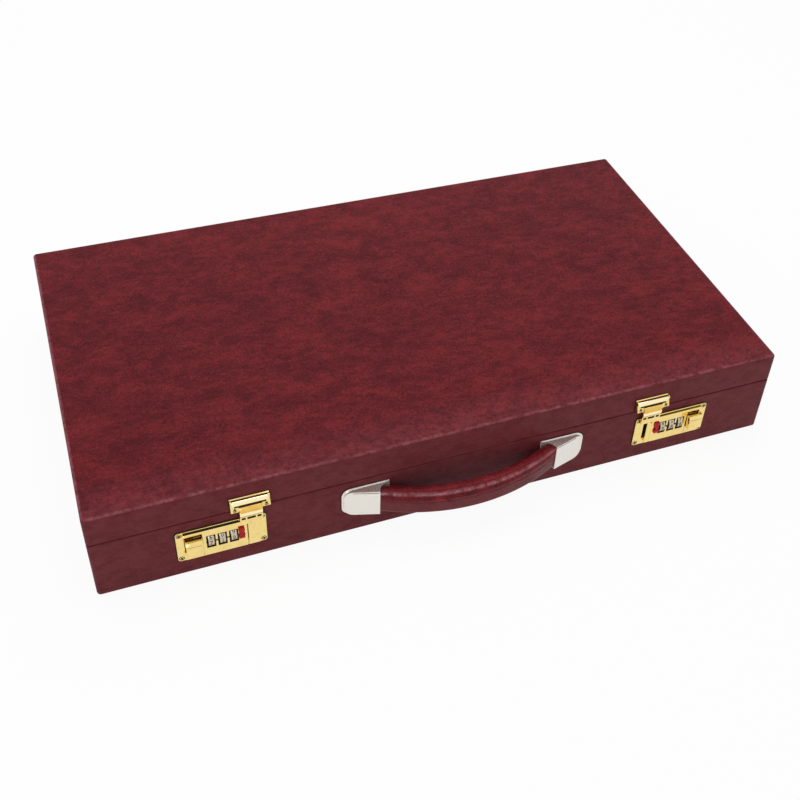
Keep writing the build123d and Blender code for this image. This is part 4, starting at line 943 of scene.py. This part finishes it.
def padPoint(u, v, under, look):
    # u and v run from -1 to 1 over the pad; the underside is the side that meets the chessmen
    low, high = look["low"], look["high"]
    centre = (low + high) / 2
    halfX, halfY = (high.x - low.x) / 2, (high.y - low.y) / 2
    x = u * (halfX - look["draw"] * (1 - v * v))
    y = v * (halfY - look["draw"] * (1 - u * u))
    rim = min(1 - abs(u), 1 - abs(v)) * min(halfX, halfY)
    edge = math.sqrt(max(0.0, 1 - max(0.0, 1 - rim / look["round"]) ** 2))
    thick = high.z - low.z
    ripple = noise.noise(Vector((x * 0.02, y * 0.02, 1.7))) * 0.5
    ripple += noise.noise(Vector((x * 0.07, y * 0.07, 4.2))) * 0.25
    pucker = 0.35 * math.exp(-rim / 7) * noise.noise(Vector((x * 0.16, y * 0.16, 8.8)))
    drop = thick * (0.45 + 0.55 * edge) * (1 - 0.06 * (1 - edge)) - look["puff"] * (1 - (1 - u * u) * (1 - v * v))
    z = high.z - (drop + (ripple + pucker) * edge if under else 0)
    return Vector((centre.x + x, centre.y + y, max(z, low.z)))


bm = bmesh.new()
grids = []
for under in (True, False):
    grids.append([[bm.verts.new(padPoint(-1 + 2 * i / pad["across"], -1 + 2 * j / pad["along"], under, pad) * mm)
                   for i in range(pad["across"] + 1)] for j in range(pad["along"] + 1)])
for grid in grids:
    for j in range(pad["along"]):
        for i in range(pad["across"]):
            bm.faces.new((grid[j][i], grid[j][i + 1], grid[j + 1][i + 1], grid[j + 1][i]))
border = [(0, i) for i in range(pad["across"])] + [(j, pad["across"]) for j in range(pad["along"])]
border += [(pad["along"], i) for i in range(pad["across"], 0, -1)] + [(j, 0) for j in range(pad["along"], 0, -1)]
for (j, i), (jj, ii) in zip(border, border[1:] + border[:1]):
    bm.faces.new((grids[0][j][i], grids[0][jj][ii], grids[1][jj][ii], grids[1][j][i]))
bmesh.ops.recalc_face_normals(bm, faces=bm.faces)
lidPad = addObject("lidPad", meshOf("lidPad", bm, 50))
dress(lidPad, bodyOf("lid_cushion"), cushionFinish, "cushion", "lid_cushion")
print("stage: cushion made")

# camera
view = {"place": (-0.21444, -0.60284, 0.59487), "azimuth": 0.42202, "elevation": -0.69799, "roll": 0.07623,
        "focal": 1156.19, "centre": (466.73, 319.34), "picture": 800}
az, el, roll = view["azimuth"], view["elevation"], view["roll"]
forward = Vector((math.sin(az) * math.cos(el), math.cos(az) * math.cos(el), math.sin(el)))
level = Vector((math.cos(az), -math.sin(az), 0))
above = level.cross(forward)
across = math.cos(roll) * level + math.sin(roll) * above
up = -math.sin(roll) * level + math.cos(roll) * above
lens = bpy.data.cameras.new("camera")
lens.sensor_width = 36
lens.lens = view["focal"] * 36 / view["picture"]
lens.shift_x = (view["picture"] / 2 - view["centre"][0]) / view["picture"]
lens.shift_y = (view["centre"][1] - view["picture"] / 2) / view["picture"]
lens.clip_start, lens.clip_end = 0.01, 20
camera = addObject("camera", lens)
camera.matrix_world = Matrix((
    (across.x, up.x, -forward.x, view["place"][0]),
    (across.y, up.y, -forward.y, view["place"][1]),
    (across.z, up.z, -forward.z, view["place"][2]),
    (0, 0, 0, 1)))
bpy.context.scene.camera = camera

# floor, world and lamps
studio = {"floor": 0.9, "floorGlow": 0.93, "world": 0.5, "top": 9.5, "front": 2.1}
floorMesh = bmesh.new()
bmesh.ops.create_grid(floorMesh, x_segments=2, y_segments=2, size=6)
floor = addObject("floor", meshOf("floor", floorMesh))
white = bpy.data.materials.new("paleFloor")
white.use_nodes = True
tree = white.node_tree
shader = tree.nodes["Principled BSDF"]
shader.inputs["Base Color"].default_value = (studio["floor"],) * 3 + (1,)
shader.inputs["Roughness"].default_value = 0.9
shader.inputs["Specular IOR Level"].default_value = 0.1
glow = tree.nodes.new("ShaderNodeEmission")
glow.inputs["Color"].default_value = (1, 1, 1, 1)
path = tree.nodes.new("ShaderNodeLightPath")
rays = Val(tree, path.outputs["Is Camera Ray"]) + Val(tree, path.outputs["Is Glossy Ray"]) \
    + Val(tree, path.outputs["Is Transmission Ray"])
blend = tree.nodes.new("ShaderNodeMixShader")
tree.links.new((rays * studio["floorGlow"]).socket, blend.inputs[0])
tree.links.new(shader.outputs[0], blend.inputs[1])
tree.links.new(glow.outputs[0], blend.inputs[2])
tree.links.new(blend.outputs[0], tree.nodes["Material Output"].inputs[0])
floor.data.materials.append(white)

world = bpy.data.worlds.new("world")
bpy.context.scene.world = world
world.use_nodes = True
tree = world.node_tree
sky = tree.nodes["Background"]
sky.inputs["Color"].default_value = (1, 1, 1, 1)
path = tree.nodes.new("ShaderNodeLightPath")
rays = Val(tree, path.outputs["Is Camera Ray"]) + Val(tree, path.outputs["Is Glossy Ray"]) \
    + Val(tree, path.outputs["Is Transmission Ray"])
seen = rays.calc("MINIMUM", rays, 1.0)
tree.links.new((seen * (1 - studio["world"]) + studio["world"]).socket, sky.inputs["Strength"])


def softLamp(name, place, aim, size, power):
    lamp = bpy.data.lights.new(name, "AREA")
    lamp.shape, lamp.size, lamp.energy = "SQUARE", size, power
    holder = addObject(name, lamp)
    direction = Vector(aim) - Vector(place)
    holder.matrix_world = Matrix.Translation(place) @ direction.to_track_quat("-Z", "Y").to_matrix().to_4x4()


softLamp("topLamp", (0.1, 0.35, 1.3), (0, 0, 0.03), 1.2, studio["top"])
softLamp("frontLamp", (-0.9, -1.1, 0.7), (0, 0, 0.03), 0.9, studio["front"] * 2)
bpy.context.scene.view_settings.view_transform = "Standard"
print("stage: camera and studio set")
